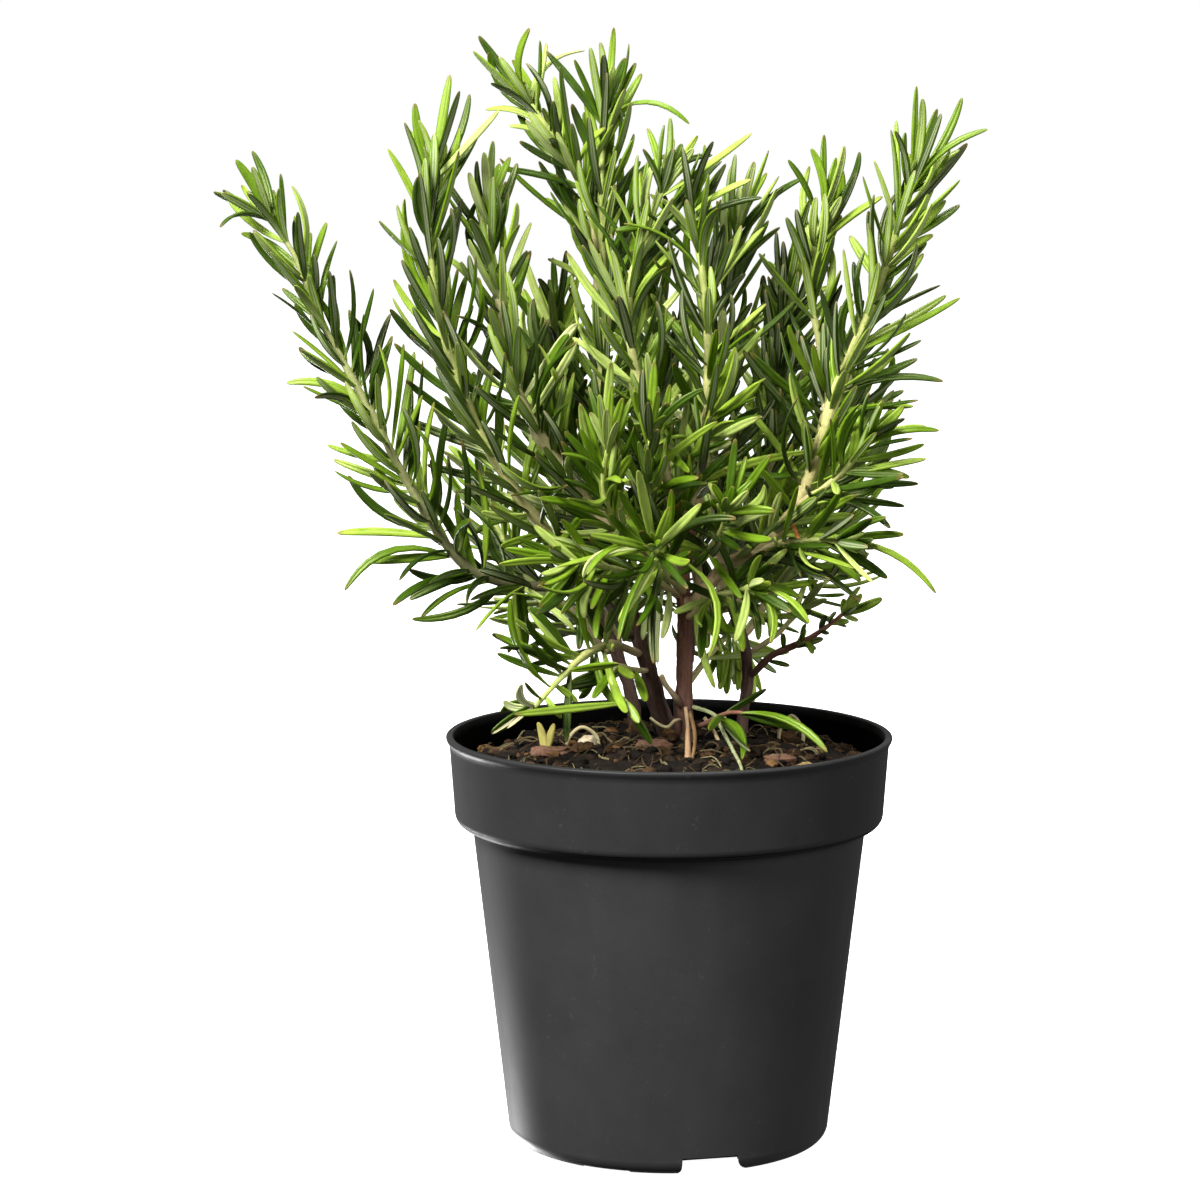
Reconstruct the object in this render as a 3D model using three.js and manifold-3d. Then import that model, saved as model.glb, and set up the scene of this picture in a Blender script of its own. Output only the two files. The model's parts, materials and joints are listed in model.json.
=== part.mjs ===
// Potted rosemary: a tapered nursery pot, its compost, the woody stems of the rooted
// cuttings, the leafy shoots that fork from them, and what lies on the compost.
// Millimetres, +Z up, origin at the centre of the pot's underside, front towards -Y.
import * as THREE from "three";
import { mergeVertices } from "three/addons/utils/BufferGeometryUtils.js";
import Module from "manifold-3d";

const wasm = await Module();
wasm.setup();

// ---- Driving dimensions ----
const GAP = 0.35; // left between pieces that touch
const POT = {
  height: 110,
  wall: 1.2,
  floor: 1.6,
  footRadius: 42.7, // where the straight wall would meet the surface below
  bodyRadius: 52.7, // at the step below the band
  footRound: 4.4,
  stepHeight: 86,
  shoulderRound: 3.3,
  bandLowRadius: 57.4,
  bandTopRadius: 58.7,
  bandTop: 107,
  lipRadius: 60,
  segments: 34,
};
const DRAIN = {
  width: 15,
  height: 5,
  inner: 27, // the channels run from here out through the wall
  holeRadius: 4,
  holeAt: 34,
  firstAngle: 15, // degrees from the front, towards +X
  count: 3,
  recessAngle: -24, // shallow recesses between the channels
  recessDepth: 0.8,
  recessWidth: 14,
};
const COMPOST = {
  edge: 101, // height at the wall
  crown: 108.6, // height at the middle
  radius: 56.2,
  segments: 32,
  rings: 4,
};
const LEAF = {
  halfWidth: 1.2,
  keel: 0.9,
  blade: [0.36, 0.8], // the sides run parallel between these shares of the length
  root: 0.6, // how far the pointed root goes past the middle of the stem
  clearance: 2.6, // least distance between the middles of leaves of different shoots
};
const STEM_STEP = 12; // distance between the rings of a stem
const LEAST_SPANS = 4;
const STEM_SIDES = 4; // young rosemary stems are four-angled
const TRUNK_SIDES = 8;
const ROOT_DEPTH = 14; // how far a trunk goes into the compost

// ---- Vectors as [x, y, z] ----
const add = (a, b) => [a[0] + b[0], a[1] + b[1], a[2] + b[2]];
const sub = (a, b) => [a[0] - b[0], a[1] - b[1], a[2] - b[2]];
const scale = (a, s) => [a[0] * s, a[1] * s, a[2] * s];
const dot = (a, b) => a[0] * b[0] + a[1] * b[1] + a[2] * b[2];
const size = (a) => Math.sqrt(dot(a, a));
const unit = (a) => scale(a, 1 / size(a));
const mix = (a, b, t) => add(scale(a, 1 - t), scale(b, t));
const blend = (pair, t) => pair[0] + (pair[1] - pair[0]) * t;
const radians = (degrees) => (degrees * Math.PI) / 180;

function cross(a, b) {
  const x = a[1] * b[2] - a[2] * b[1];
  const y = a[2] * b[0] - a[0] * b[2];
  const z = a[0] * b[1] - a[1] * b[0];
  return [x, y, z];
}

// The part of a that is square to the unit vector n, at length 1.
const squareTo = (a, n) => unit(sub(a, scale(n, dot(a, n))));

// A number from 0 to 1 at each call, the same row of numbers for the same seed.
function randomFrom(seed) {
  let state = seed >>> 0;
  return () => {
    state = (Math.imul(state, 1664525) + 1013904223) >>> 0;
    return state / 4294967296;
  };
}

// ---- Solids ----
function solidFrom(geometry) {
  const bare = geometry.clone();
  bare.deleteAttribute("normal");
  bare.deleteAttribute("uv");
  const merged = mergeVertices(bare, 1e-4);
  const mesh = new wasm.Mesh({
    numProp: 3,
    vertProperties: new Float32Array(merged.attributes.position.array),
    triVerts: new Uint32Array(merged.index.array),
  });
  return new wasm.Manifold(mesh);
}

function geometryFrom(solid) {
  const mesh = solid.getMesh();
  const geometry = new THREE.BufferGeometry();
  const positions = new THREE.BufferAttribute(new Float32Array(mesh.vertProperties), 3);
  geometry.setAttribute("position", positions);
  geometry.setIndex(new THREE.BufferAttribute(new Uint32Array(mesh.triVerts), 1));
  geometry.computeVertexNormals();
  return geometry;
}

function solidOf(points, faces) {
  const geometry = new THREE.BufferGeometry();
  geometry.setAttribute("position", new THREE.Float32BufferAttribute(points.flat(), 3));
  geometry.setIndex(faces);
  return solidFrom(geometry);
}

// A closed skin over rings of points that all have the same number of points.
function skin(rings) {
  const count = rings[0].length;
  const last = (rings.length - 1) * count;
  const faces = [];
  for (let i = 1; i + 1 < count; i++) {
    faces.push(0, i + 1, i);
    faces.push(last, last + i, last + i + 1);
  }
  for (let start = 0; start < last; start += count) {
    for (let i = 0; i < count; i++) {
      const a = start + i;
      const b = start + ((i + 1) % count);
      faces.push(a, b, b + count, a, b + count, a + count);
    }
  }
  return solidOf(rings.flat(), faces);
}

// ---- Stems: smooth paths through their points, with a frame carried along ----
const SPAN_STEPS = 6;

function splinePoint(a, b, c, d, t) {
  const t2 = t * t;
  const t3 = t2 * t;
  const wa = -0.5 * t3 + t2 - 0.5 * t;
  const wb = 1.5 * t3 - 2.5 * t2 + 1;
  const wc = -1.5 * t3 + 2 * t2 + 0.5 * t;
  const wd = 0.5 * t3 - 0.5 * t2;
  return add(add(scale(a, wa), scale(b, wb)), add(scale(c, wc), scale(d, wd)));
}

function smoothPath(points) {
  const last = points.length - 1;
  const samples = [];
  for (let i = 0; i < last; i++) {
    const before = points[Math.max(i - 1, 0)];
    const after = points[Math.min(i + 2, last)];
    for (let k = 0; k < SPAN_STEPS; k++) {
      samples.push(splinePoint(before, points[i], points[i + 1], after, k / SPAN_STEPS));
    }
  }
  samples.push(points[last]);
  return samples;
}

function reachAlong(samples) {
  const reach = [0];
  for (let i = 1; i < samples.length; i++) {
    reach.push(reach[i - 1] + size(sub(samples[i], samples[i - 1])));
  }
  return reach;
}

// The same path through evenly spaced stations, one for each ring of the stem.
function evenPath(points) {
  const fine = smoothPath(points);
  const reach = reachAlong(fine);
  const length = reach[reach.length - 1];
  const spans = Math.max(LEAST_SPANS, Math.round(length / STEM_STEP));
  const stations = [fine[0]];
  let i = 0;
  for (let k = 1; k < spans; k++) {
    const target = (length * k) / spans;
    while (reach[i + 1] < target) i++;
    stations.push(mix(fine[i], fine[i + 1], (target - reach[i]) / (reach[i + 1] - reach[i])));
  }
  return [...stations, fine[fine.length - 1]];
}

function makeStem(points, radius, roll = 0) {
  const samples = evenPath(points);
  const reach = reachAlong(samples);
  const tangents = samples.map((_, i) => {
    const next = samples[Math.min(i + 1, samples.length - 1)];
    return unit(sub(next, samples[Math.max(i - 1, 0)]));
  });
  const start = Math.abs(tangents[0][2]) < 0.9 ? [0, 0, 1] : [1, 0, 0];
  const first = squareTo(start, tangents[0]);
  const quarter = cross(tangents[0], first);
  const normals = [add(scale(first, Math.cos(roll)), scale(quarter, Math.sin(roll)))];
  for (let i = 1; i < samples.length; i++) {
    normals.push(squareTo(normals[i - 1], tangents[i]));
  }
  return { samples, reach, tangents, normals, radius, length: reach[reach.length - 1] };
}

// Place, direction, side direction and radius of a stem at a share of its length.
function stemAt(stem, share) {
  const target = Math.min(Math.max(share, 0), 1) * stem.length;
  let i = 0;
  while (i + 2 < stem.reach.length && stem.reach[i + 1] < target) i++;
  const t = (target - stem.reach[i]) / (stem.reach[i + 1] - stem.reach[i]);
  const tangent = unit(mix(stem.tangents[i], stem.tangents[i + 1], t));
  return {
    point: mix(stem.samples[i], stem.samples[i + 1], t),
    tangent,
    normal: squareTo(mix(stem.normals[i], stem.normals[i + 1], t), tangent),
    radius: blend(stem.radius, share),
  };
}

function stemSolid(stem, sides, grow = 0) {
  const rings = stem.samples.map((point, r) => {
    const normal = stem.normals[r];
    const binormal = cross(stem.tangents[r], normal);
    const radius = blend(stem.radius, stem.reach[r] / stem.length) + grow;
    const corners = [...Array(sides).keys()].map((i) => (2 * Math.PI * i) / sides);
    return corners.map((angle) => {
      const out = add(scale(normal, Math.cos(angle)), scale(binormal, Math.sin(angle)));
      return add(point, scale(out, radius));
    });
  });
  return skin(rings);
}

// Where a side stem starts: just off its parent's bark, or past the parent's end.
function seatOn(parent, share, towards, radius) {
  const at = stemAt(parent, share);
  const away = unit(sub(towards, at.point));
  const out = share === 1 ? at.tangent : squareTo(away, at.tangent);
  const lean = Math.sqrt(Math.max(0, 1 - dot(away, out) ** 2));
  const bark = share === 1 ? radius * lean : at.radius + radius * lean;
  return add(at.point, scale(out, bark + GAP));
}

// ---- Leaves: a flat upper face and a keel below, from a quadratic centre line ----
function leafPoint(leaf, t) {
  const bend = sub(scale(leaf.mid, 2), scale(add(leaf.base, leaf.tip), 0.5));
  const a = scale(leaf.base, (1 - t) * (1 - t));
  const b = scale(bend, 2 * t * (1 - t));
  return add(add(a, b), scale(leaf.tip, t * t));
}

// Corners: 0 root, 1 and 2 lower end of the blade, 3 and 4 upper end, 5 tip, 6 keel.
const LEAF_FACES = [
  [0, 1, 2], [1, 3, 4], [1, 4, 2], [3, 5, 4], // upper side
  [1, 0, 6], [3, 1, 6], [5, 3, 6], [4, 5, 6], [2, 4, 6], [0, 2, 6], // keeled underside
];

function leafSolid(leaf) {
  const across = (t) => squareTo(leaf.side, unit(sub(leafPoint(leaf, t + 0.05), leafPoint(leaf, t))));
  const edge = (t, width) => add(leafPoint(leaf, t), scale(across(t), width));
  const half = LEAF.halfWidth;
  const below = cross(unit(sub(leaf.tip, leaf.base)), across(0.5));
  const inward = unit(sub(leaf.base, leafPoint(leaf, 0.1)));
  const corners = [
    add(leaf.base, scale(inward, LEAF.root)),
    edge(LEAF.blade[0], half),
    edge(LEAF.blade[0], -half),
    edge(LEAF.blade[1], half),
    edge(LEAF.blade[1], -half),
    leaf.tip,
    add(leafPoint(leaf, 0.5), scale(below, LEAF.keel)),
  ];
  return solidOf(corners, LEAF_FACES.flat());
}

// A leaf drawn from its base to a given tip. bow moves its middle in the picture plane.
function leafToTip(stem, share, tip, bow) {
  const at = stemAt(stem, share);
  const along = unit(sub(tip, at.point));
  const out = squareTo(along, at.tangent);
  const middle = scale(add(at.point, tip), 0.5);
  let side = squareTo(cross(out, at.tangent), along);
  if (!bow) return { base: at.point, mid: middle, tip, side };
  const shift = [bow[0], 0, bow[1]];
  const bent = unit(cross(along, shift));
  side = dot(bent, side) < 0 ? scale(bent, -1) : bent;
  return { base: at.point, mid: add(middle, shift), tip, side };
}

// A leaf drawn from angles: turn is round the stem, spread is away from its direction.
function leafByAngles(stem, share, turn, spread, length, curl) {
  const at = stemAt(stem, share);
  const binormal = cross(at.tangent, at.normal);
  const out = add(scale(at.normal, Math.cos(turn)), scale(binormal, Math.sin(turn)));
  const heading = (angle) =>
    add(scale(at.tangent, Math.cos(angle)), scale(out, Math.sin(angle)));
  const mid = add(at.point, scale(heading(spread), length / 2));
  const tip = add(mid, scale(heading(spread + curl), length / 2));
  return { base: at.point, mid, tip, side: cross(out, at.tangent) };
}

// ---- Room: what is already placed, as short straight pieces with a radius ----
const room = [];

function segmentGap(p1, q1, p2, q2) {
  const d1 = sub(q1, p1);
  const d2 = sub(q2, p2);
  const r = sub(p1, p2);
  const a = dot(d1, d1);
  const e = dot(d2, d2);
  const b = dot(d1, d2);
  const c = dot(d1, r);
  const f = dot(d2, r);
  const wide = a * e - b * b;
  let s = wide > 1e-9 ? Math.min(Math.max((b * f - c * e) / wide, 0), 1) : 0;
  let t = (b * s + f) / e;
  if (t < 0) {
    t = 0;
    s = Math.min(Math.max(-c / a, 0), 1);
  } else if (t > 1) {
    t = 1;
    s = Math.min(Math.max((b - c) / a, 0), 1);
  }
  return size(sub(add(p1, scale(d1, s)), add(p2, scale(d2, t))));
}

const REACH = 45; // no two pieces whose middles are further apart can touch
const OWN_LEAVES = 1.9; // between the outer halves of leaves of one shoot
const OWN_STEM = 1.6;

function clashes(owner, leaf) {
  for (const other of room) {
    if (size(sub(other.from, leaf.mid)) > REACH) continue;
    const outer = segmentGap(leaf.mid, leaf.tip, other.from, other.to);
    if (other.owner === owner) {
      if (other.inner) continue;
      if (outer < (other.leaf ? OWN_LEAVES : OWN_STEM)) return true;
      continue;
    }
    const keep = LEAF.clearance - LEAF.halfWidth + other.radius;
    if (outer < keep) return true;
    if (segmentGap(leaf.base, leaf.mid, other.from, other.to) < keep) return true;
  }
  return false;
}

function clearOfPot(leaf) {
  return [0.25, 0.5, 0.75, 1].every((t) => {
    const p = leafPoint(leaf, t);
    const r = Math.sqrt(p[0] * p[0] + p[1] * p[1]);
    if (r > POT.lipRadius + 2) return p[2] > 2;
    if (r > COMPOST.radius - 1) return p[2] > POT.height + 1.6;
    return p[2] > compostHeight(p[0], p[1]) + 1.8;
  });
}

function holdRoomForStem(owner, stem) {
  for (let i = 0; i + 1 < stem.samples.length; i++) {
    const [from, to] = [stem.samples[i], stem.samples[i + 1]];
    room.push({ owner, from, to, radius: blend(stem.radius, stem.reach[i] / stem.length) });
  }
}

function holdRoomForLeaf(owner, leaf) {
  const radius = LEAF.halfWidth;
  room.push({ owner, from: leaf.base, to: leaf.mid, radius, leaf: true, inner: true });
  room.push({ owner, from: leaf.mid, to: leaf.tip, radius, leaf: true });
}

// ---- The plant ----
// Trunks of the rooted cuttings: points up from the compost, and the end radii.
const TRUNKS = [
  {
    name: "trunk_left",
    points: [[0, 4, 108], [-3, 4, 117], [-6, 3, 128], [-8, 2, 137], [-11, 2, 145]],
    radius: [2.9, 1.9],
  },
  {
    name: "trunk_centre",
    points: [[5, -3, 108], [4, -3, 120], [4, -3, 133], [4, -4, 147], [4, -5, 157], [6, -6, 167]],
    radius: [2.6, 1.5],
  },
  {
    name: "trunk_right",
    points: [[19, 4, 107], [20, 4, 116], [21, 4, 125], [21, 5, 131], [18, 8, 140], [15, 10, 147]],
    radius: [1.7, 1.3],
  },
  {
    name: "trunk_back",
    points: [[3, 21, 107], [4, 23, 121], [6, 27, 134], [8, 31, 145]],
    radius: [2.2, 1.5],
  },
  {
    name: "trunk_back_left",
    points: [[-9, 17, 107], [-11, 21, 120], [-15, 26, 129], [-19, 31, 138]],
    radius: [2.1, 1.4],
  },
];

// Leafy shoots. from: parent and the share of its length where they fork (1 is its end).
// leaves: spacing of the pairs, and length and spread (degrees) from the first pair to the
// last. tips: leaves placed one by one as [share, x, y, z], then the bow of a curved one.
const SHOOTS = [
  {
    name: "shoot_far_left",
    from: ["trunk_left", 0.86],
    points: [
      [-17, -1, 146], [-25, -3, 149], [-39, -8, 151], [-46, -10, 153], [-53, -12, 156],
      [-59, -14, 163], [-70, -17, 182], [-79, -18, 200], [-90, -17, 220], [-99, -15, 241],
      [-105, -14, 249],
    ],
    radius: [1.3, 0.6],
    leaves: { first: 0.2, spacing: 14, length: [22, 15], spread: [50, 24], seed: 11 },
    tips: [
      [1, -118, -20, 255], [1, -117, -8, 255], [1, -113, -12, 263], [1, -116, -24, 246, -1, 1.7],
      [0.87, -107, -26, 245], [0.94, -101, -20, 256], [0.95, -104, -6, 255],
      [0.88, -96, -24, 250], [0.85, -94, -8, 244], [0.83, -92, -22, 239],
      [0.82, -87, -10, 242, -2.1, 0.8], [0.76, -88, -25, 235], [0.74, -88, -10, 233],
      [0.73, -83, -20, 235], [0.75, -103, -22, 229], [0.68, -98, -20, 219],
      [0.61, -95, -24, 205], [0.63, -91, -30, 208], [0.68, -84, -10, 224],
      [0.64, -79, -26, 224], [0.62, -73, -12, 223], [0.56, -69, -22, 216],
      [0.55, -67, -10, 213], [0.53, -64, -24, 212], [0.48, -87, -24, 183], [0.49, -83, -12, 193],
      [0.38, -74, -26, 172], [0.4, -87, -18, 166, -0.6, 2.8], [0.33, -85, -20, 151, -2.1, 4.8],
      [0.3, -72, -26, 148, -0.9, 1.4], [0.26, -65, -20, 144, -1, 1.2], [0.22, -52, -22, 149],
      [0.18, -50, -2, 148, 0.3, -1.2], [0.41, -58, -12, 198], [0.43, -61, -24, 201],
      [0.36, -54, -24, 191], [0.29, -50, -20, 183],
    ],
  },
  {
    name: "shoot_left",
    from: ["trunk_left", 1],
    points: [
      [-17, -2, 152], [-24, -6, 157], [-32, -10, 165], [-44, -14, 182], [-52, -18, 198],
      [-58, -21, 216], [-62, -22, 240], [-61, -20, 260],
    ],
    radius: [1.6, 0.6],
    leaves: { first: 0.2, spacing: 11, length: [24, 17], spread: [48, 22], seed: 23 },
    tips: [
      [1, -57, -16, 285], [1, -54, -26, 281], [0.99, -52, -14, 280],
      [1, -44, -24, 276, -1.3, 1.3], [0.89, -68, -28, 273], [0.87, -73, -18, 266],
      [0.61, -66, -30, 226], [0.61, -68, -16, 231], [0.7, -69, -12, 246],
      [0.81, -70, -28, 252], [0.65, -50, -28, 239], [0.75, -54, -14, 253],
      [0.85, -54, -30, 266], [0.53, -44, -10, 226],
    ],
  },
  {
    name: "shoot_left_centre",
    from: ["trunk_centre", 0.82],
    points: [
      [-1, -3, 156], [-9, -3, 160], [-17, -7, 168], [-25, -10, 177], [-33, -13, 190],
      [-40, -14, 202], [-43, -14, 219], [-47, -12, 240], [-47, -11, 249],
    ],
    radius: [1.8, 0.7],
    leaves: { first: 0.12, spacing: 10, length: [25, 17], spread: [48, 20], seed: 37 },
    tips: [
      [1, -46, -14, 268], [0.99, -49, -4, 262], [0.98, -52, -18, 260], [0.97, -40, -6, 262],
      [0.94, -59, -4, 258], [0.8, -52, -22, 243], [0.81, -37, -20, 240], [0.58, -56, -24, 220],
      [0.48, -50, -8, 221], [0.43, -34, -24, 216, 2.7, 0.1], [0.49, -24, -20, 221, -2.7, 1.5],
      [0.48, -24, -28, 217, -2.1, 1.2], [0.33, -32, -20, 209], [0.27, -21, -16, 202],
      [0.1, -1, -24, 176, -1, 1], [0.21, -35, -24, 187],
    ],
  },
  {
    name: "shoot_top",
    from: ["shoot_left_centre", 0.11],
    points: [
      [-13, 3, 168], [-17, 6, 179], [-19, 7, 192], [-18, 8, 206], [-17, 8, 219], [-18, 6, 241],
      [-18, 6, 262], [-17, 6, 276],
    ],
    radius: [1.6, 0.7],
    leaves: { first: 0.1, spacing: 10, length: [24, 18], spread: [45, 20], seed: 41 },
    tips: [
      [0.95, -21, 0, 292], [0.97, -18, 12, 286], [1, -15, 8, 287], [0.99, -11, 4, 293],
      [0.98, 5, 2, 272, 0.4, 4.9], [0.98, -11, 12, 274], [0.79, -10, 0, 268],
      [0.97, -33, 12, 291], [0.87, -15, 16, 266], [0.77, -8, 14, 262], [0.61, -28, 0, 251],
      [0.57, -9, -4, 253], [0.68, -25, 14, 257],
    ],
  },
  {
    name: "shoot_top_side",
    from: ["shoot_top", 0.58],
    points: [[-20, 8.5, 243], [-22, 9, 252], [-28, 9, 264], [-35, 10, 274], [-37, 10, 277]],
    radius: [1.1, 0.6],
    leaves: { first: 0.1, spacing: 10, length: [18, 15], spread: [42, 25], seed: 53 },
    tips: [
      [0.94, -52, 6, 291], [1, -51, 16, 295], [1, -37, 4, 297, -3, 0],
      [0.98, -33, 14, 293, -1.3, 0.2], [1, -23, 20, 291, -4, 4], [0.57, -29, 2, 287],
      [0.63, -38, 0, 273], [0.72, -34, 16, 276], [0.7, -31, 4, 278], [0.51, -23, 14, 275],
      [0.5, -15, 4, 272], [0.6, -17, 0, 271, -1, 0.9], [0.27, -35, 14, 262],
      [0.29, -45, 3, 263], [0.54, -35, 18, 259],
    ],
  },
  {
    name: "shoot_centre_left",
    from: ["trunk_centre", 0.94],
    points: [
      [3, -10, 167], [1, -10, 171], [-1, -12, 182], [-4, -14, 192], [-9, -14, 209],
      [-11, -12, 227], [-9, -10, 236], [-4, -8, 250], [-2, -8, 255],
    ],
    radius: [1.4, 0.6],
    leaves: { first: 0.1, spacing: 10, length: [24, 17], spread: [46, 22], seed: 61 },
    tips: [
      [1, 0, -12, 274], [1, -6, -2, 271], [1, -7, -16, 266], [1, 3, -4, 267], [1, 6, -16, 266],
      [1, 11, -4, 264, -1.2, 1.6], [0.99, 21, -14, 270, -0.8, 1.1], [0.91, -14, -16, 245],
      [0.49, -18, -26, 223], [0.59, -15, -20, 240], [0.31, 2, -26, 203],
      [0.33, 2, -32, 197, -0.4, 1.3], [0.37, -6, -26, 214], [0.41, -1, -20, 225],
    ],
  },
  {
    name: "shoot_centre",
    from: ["trunk_centre", 1],
    points: [
      [8, -8, 177], [9, -10, 187], [10, -11, 198], [10, -12, 216], [8, -10, 236], [5, -8, 250],
    ],
    radius: [1.4, 0.7],
    leaves: { first: 0.08, spacing: 10, length: [24, 18], spread: [50, 26], seed: 71 },
    tips: [
      [0.99, 14, -2, 261], [0.99, 21, -14, 258, -0.7, 1.3], [0.97, 24, -4, 253, -0.4, 1.5],
      [0.91, 13, -16, 253], [1, 11, -12, 268], [0.91, -2, -14, 253], [0.7, 16, -20, 243],
      [0.55, 25, -16, 226], [0.48, 22, -22, 220], [0.34, 25, -20, 207],
      [0.26, 24, -22, 197, -0.6, 1.7], [0.27, -3, -24, 190, -0.4, 1.2],
    ],
  },
  {
    name: "shoot_right_centre",
    from: ["trunk_right", 1],
    points: [
      [13, 10, 160], [12, 9, 175], [12, 8, 188], [13, 9, 200], [14, 11, 223], [17, 12, 240],
      [18, 12, 246],
    ],
    radius: [1.3, 0.6],
    leaves: { first: 0.15, spacing: 10, length: [22, 18], spread: [45, 24], seed: 83 },
    tips: [
      [0.94, 26, 10, 265], [0.97, 22, 20, 261], [0.87, 28, 6, 255], [0.83, 29, 16, 258, -2.7, 1.5],
      [0.73, 25, 4, 238], [0.78, 14, 6, 251], [0.55, 24, 2, 230],
    ],
  },
  {
    name: "shoot_right_inner",
    from: ["trunk_right", 0.92],
    points: [[23, 9, 155], [26, 8, 166], [27, 7, 180], [28, 9, 200], [30, 11, 221], [31, 12, 228]],
    radius: [1.1, 0.6],
    leaves: { first: 0.2, spacing: 11, length: [21, 17], spread: [42, 24], seed: 97 },
    tips: [
      [0.99, 37, 10, 252], [0.94, 26, 4, 232], [0.92, 26, 16, 229], [0.76, 25, 0, 229],
      [0.8, 30, 10, 241], [0.62, 34, 2, 218],
    ],
  },
  {
    name: "shoot_right",
    from: ["trunk_centre", 0.72],
    points: [
      [11, -6, 153], [18, -8, 158], [25, -10, 163], [32, -11, 170], [38, -12, 184],
      [43, -12, 201], [50, -12, 219], [56, -10, 235], [61, -8, 251], [63, -8, 256],
    ],
    radius: [1.8, 0.8],
    leaves: { first: 0.12, spacing: 11.5, length: [25, 17], spread: [50, 24], seed: 101 },
    tips: [
      [1, 64, -6, 282], [1, 65, -16, 279], [1, 70, 2, 276], [1, 70, -14, 275], [1, 76, -4, 279],
      [0.97, 82, -14, 271, -1.8, 1.9], [0.94, 78, 2, 267], [0.89, 75, -14, 258],
      [0.87, 76, 0, 251], [0.89, 57, -14, 271], [0.94, 59, -2, 273],
      [0.65, 76, -6, 227, -0.6, 1.3], [0.7, 70, -18, 231], [0.66, 73, 4, 227],
      [0.6, 65, -22, 217], [0.55, 65, -6, 211], [0.54, 71, -18, 206, -0.3, 3.1],
      [0.51, 63, -24, 200, 0, 2.4], [0.51, 53, -4, 196], [0.47, 19, -22, 214],
      [0.38, 14, -20, 183], [0.37, 35, -22, 195], [0.58, 43, -22, 227], [0.74, 51, -20, 247],
      [0.79, 47, -4, 243], [0.82, 57, -18, 252],
    ],
  },
  {
    name: "shoot_right_second",
    from: ["shoot_right", 0.42],
    points: [[41, -3, 197], [41, 2, 205], [39, 6, 218], [37, 8, 228], [39, 9, 244], [41, 9, 250]],
    radius: [1.1, 0.6],
    leaves: { first: 0.1, spacing: 9, length: [20, 16], spread: [44, 24], seed: 113 },
    tips: [
      [0.93, 44, 12, 263], [0.87, 45, 2, 253], [0.88, 48, 8, 255], [0.84, 56, 4, 253, -1.2, 1.5],
      [0.73, 35, 14, 248], [0.61, 43, -2, 243], [0.35, 31, 10, 225], [0.3, 51, 0, 226],
    ],
  },
  {
    name: "shoot_right_side",
    from: ["shoot_right", 0.31],
    points: [[37, -18, 176], [40, -20, 178], [44, -23, 182], [48, -26, 187], [51, -28, 192]],
    radius: [1.0, 0.6],
    leaves: { first: 0.2, spacing: 9, length: [20, 14], spread: [50, 30], seed: 127 },
    tips: [
      [0.97, 58, -24, 199], [0.96, 60, -36, 198], [0.94, 66, -28, 195], [0.86, 62, -38, 193],
      [0.74, 66, -22, 190], [0.52, 66, -30, 187, -0.4, 2.1], [0.27, 60, -36, 183],
      [0.3, 65, -16, 179], [0.15, 61, -24, 174], [0.07, 57, -30, 169, 0.9, 2],
      [0.77, 51, -34, 196], [0.48, 41, -36, 198],
    ],
  },
  {
    name: "shoot_right_low",
    from: ["shoot_right", 0.17],
    points: [[28, -15, 163], [33, -18, 164], [39, -22, 165], [44, -26, 165]],
    radius: [0.9, 0.6],
    leaves: { first: 0.25, spacing: 9, length: [20, 16], spread: [55, 35], seed: 131 },
    tips: [
      [0.97, 69, -30, 152, 1.9, 3.6], [0.94, 48, -16, 157], [0.24, 48, -34, 159],
      [0.1, 42, -28, 164, 0, 1.1], [0.4, 34, -34, 157], [0.97, 52, -34, 172],
    ],
  },
  {
    name: "shoot_drooping",
    from: ["trunk_left", 0.75],
    points: [[-14, -6, 135], [-18, -11, 135], [-23, -17, 133], [-30, -25, 127], [-35, -30, 122]],
    radius: [1.1, 0.6],
    leaves: { first: 0.3, spacing: 11, length: [20, 14], spread: [55, 35], seed: 139 },
    tips: [
      [0.53, -45, -30, 141], [0.72, -44, -34, 138, 0.8, 1.5], [0.84, -41, -36, 151, -1.9, -0.7],
      [0.46, -24, -22, 156], [0.55, -37, -16, 146], [0.51, -40, -32, 145],
      [0.4, -41, -24, 151, 1.9, 2.3], [0.28, -22, -14, 147], [0.8, -24, -22, 122],
      [0.67, -13, -34, 134], [0.94, -37, -40, 130], [0.98, -46, -34, 116, -0.7, 1.1],
      [0.98, -44, -22, 119, -0.3, 1.4],
    ],
  },
  {
    name: "shoot_low_left",
    from: ["trunk_left", 0.65],
    points: [[-9, -6, 128], [-12, -10, 130], [-16, -16, 129], [-14, -20, 125], [-11, -23, 122]],
    radius: [0.8, 0.5],
    leaves: { first: 0.5, spacing: 11, length: [14, 12], spread: [50, 40], seed: 149 },
    tips: [[1, -40, -30, 121], [0.52, -20, -22, 123], [0.47, -24, -10, 123], [0.27, -6, -20, 122]],
  },
  {
    name: "spur_right",
    from: ["trunk_right", 0.59],
    points: [[28, -2, 132], [34, -5, 135], [38, -7, 137], [42, -9, 141], [46, -10, 144]],
    radius: [1.0, 0.5],
    leaves: { first: 0.5, spacing: 12, length: [5, 4], spread: [50, 40], seed: 151 },
    tips: [[0.59, 38, -9, 133], [0.38, 30, -6, 138], [0.19, 32, -4, 129], [0.44, 41, -2, 136]],
  },
  {
    name: "spur_right_upper",
    from: ["trunk_right", 0.69],
    points: [[28, 7, 135], [31, 8, 139], [35, 9, 142], [39, 10, 147], [45, 11, 152]],
    radius: [0.8, 0.5],
    leaves: { first: 0.5, spacing: 9, length: [9, 7], spread: [50, 40], seed: 157 },
    tips: [
      [0.33, 28, 6, 146], [0.51, 37, 12, 150], [0.21, 26, 10, 142], [0.53, 42, 4, 146],
      [0.73, 38, 6, 155],
    ],
  },
  {
    name: "shoot_front",
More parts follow.
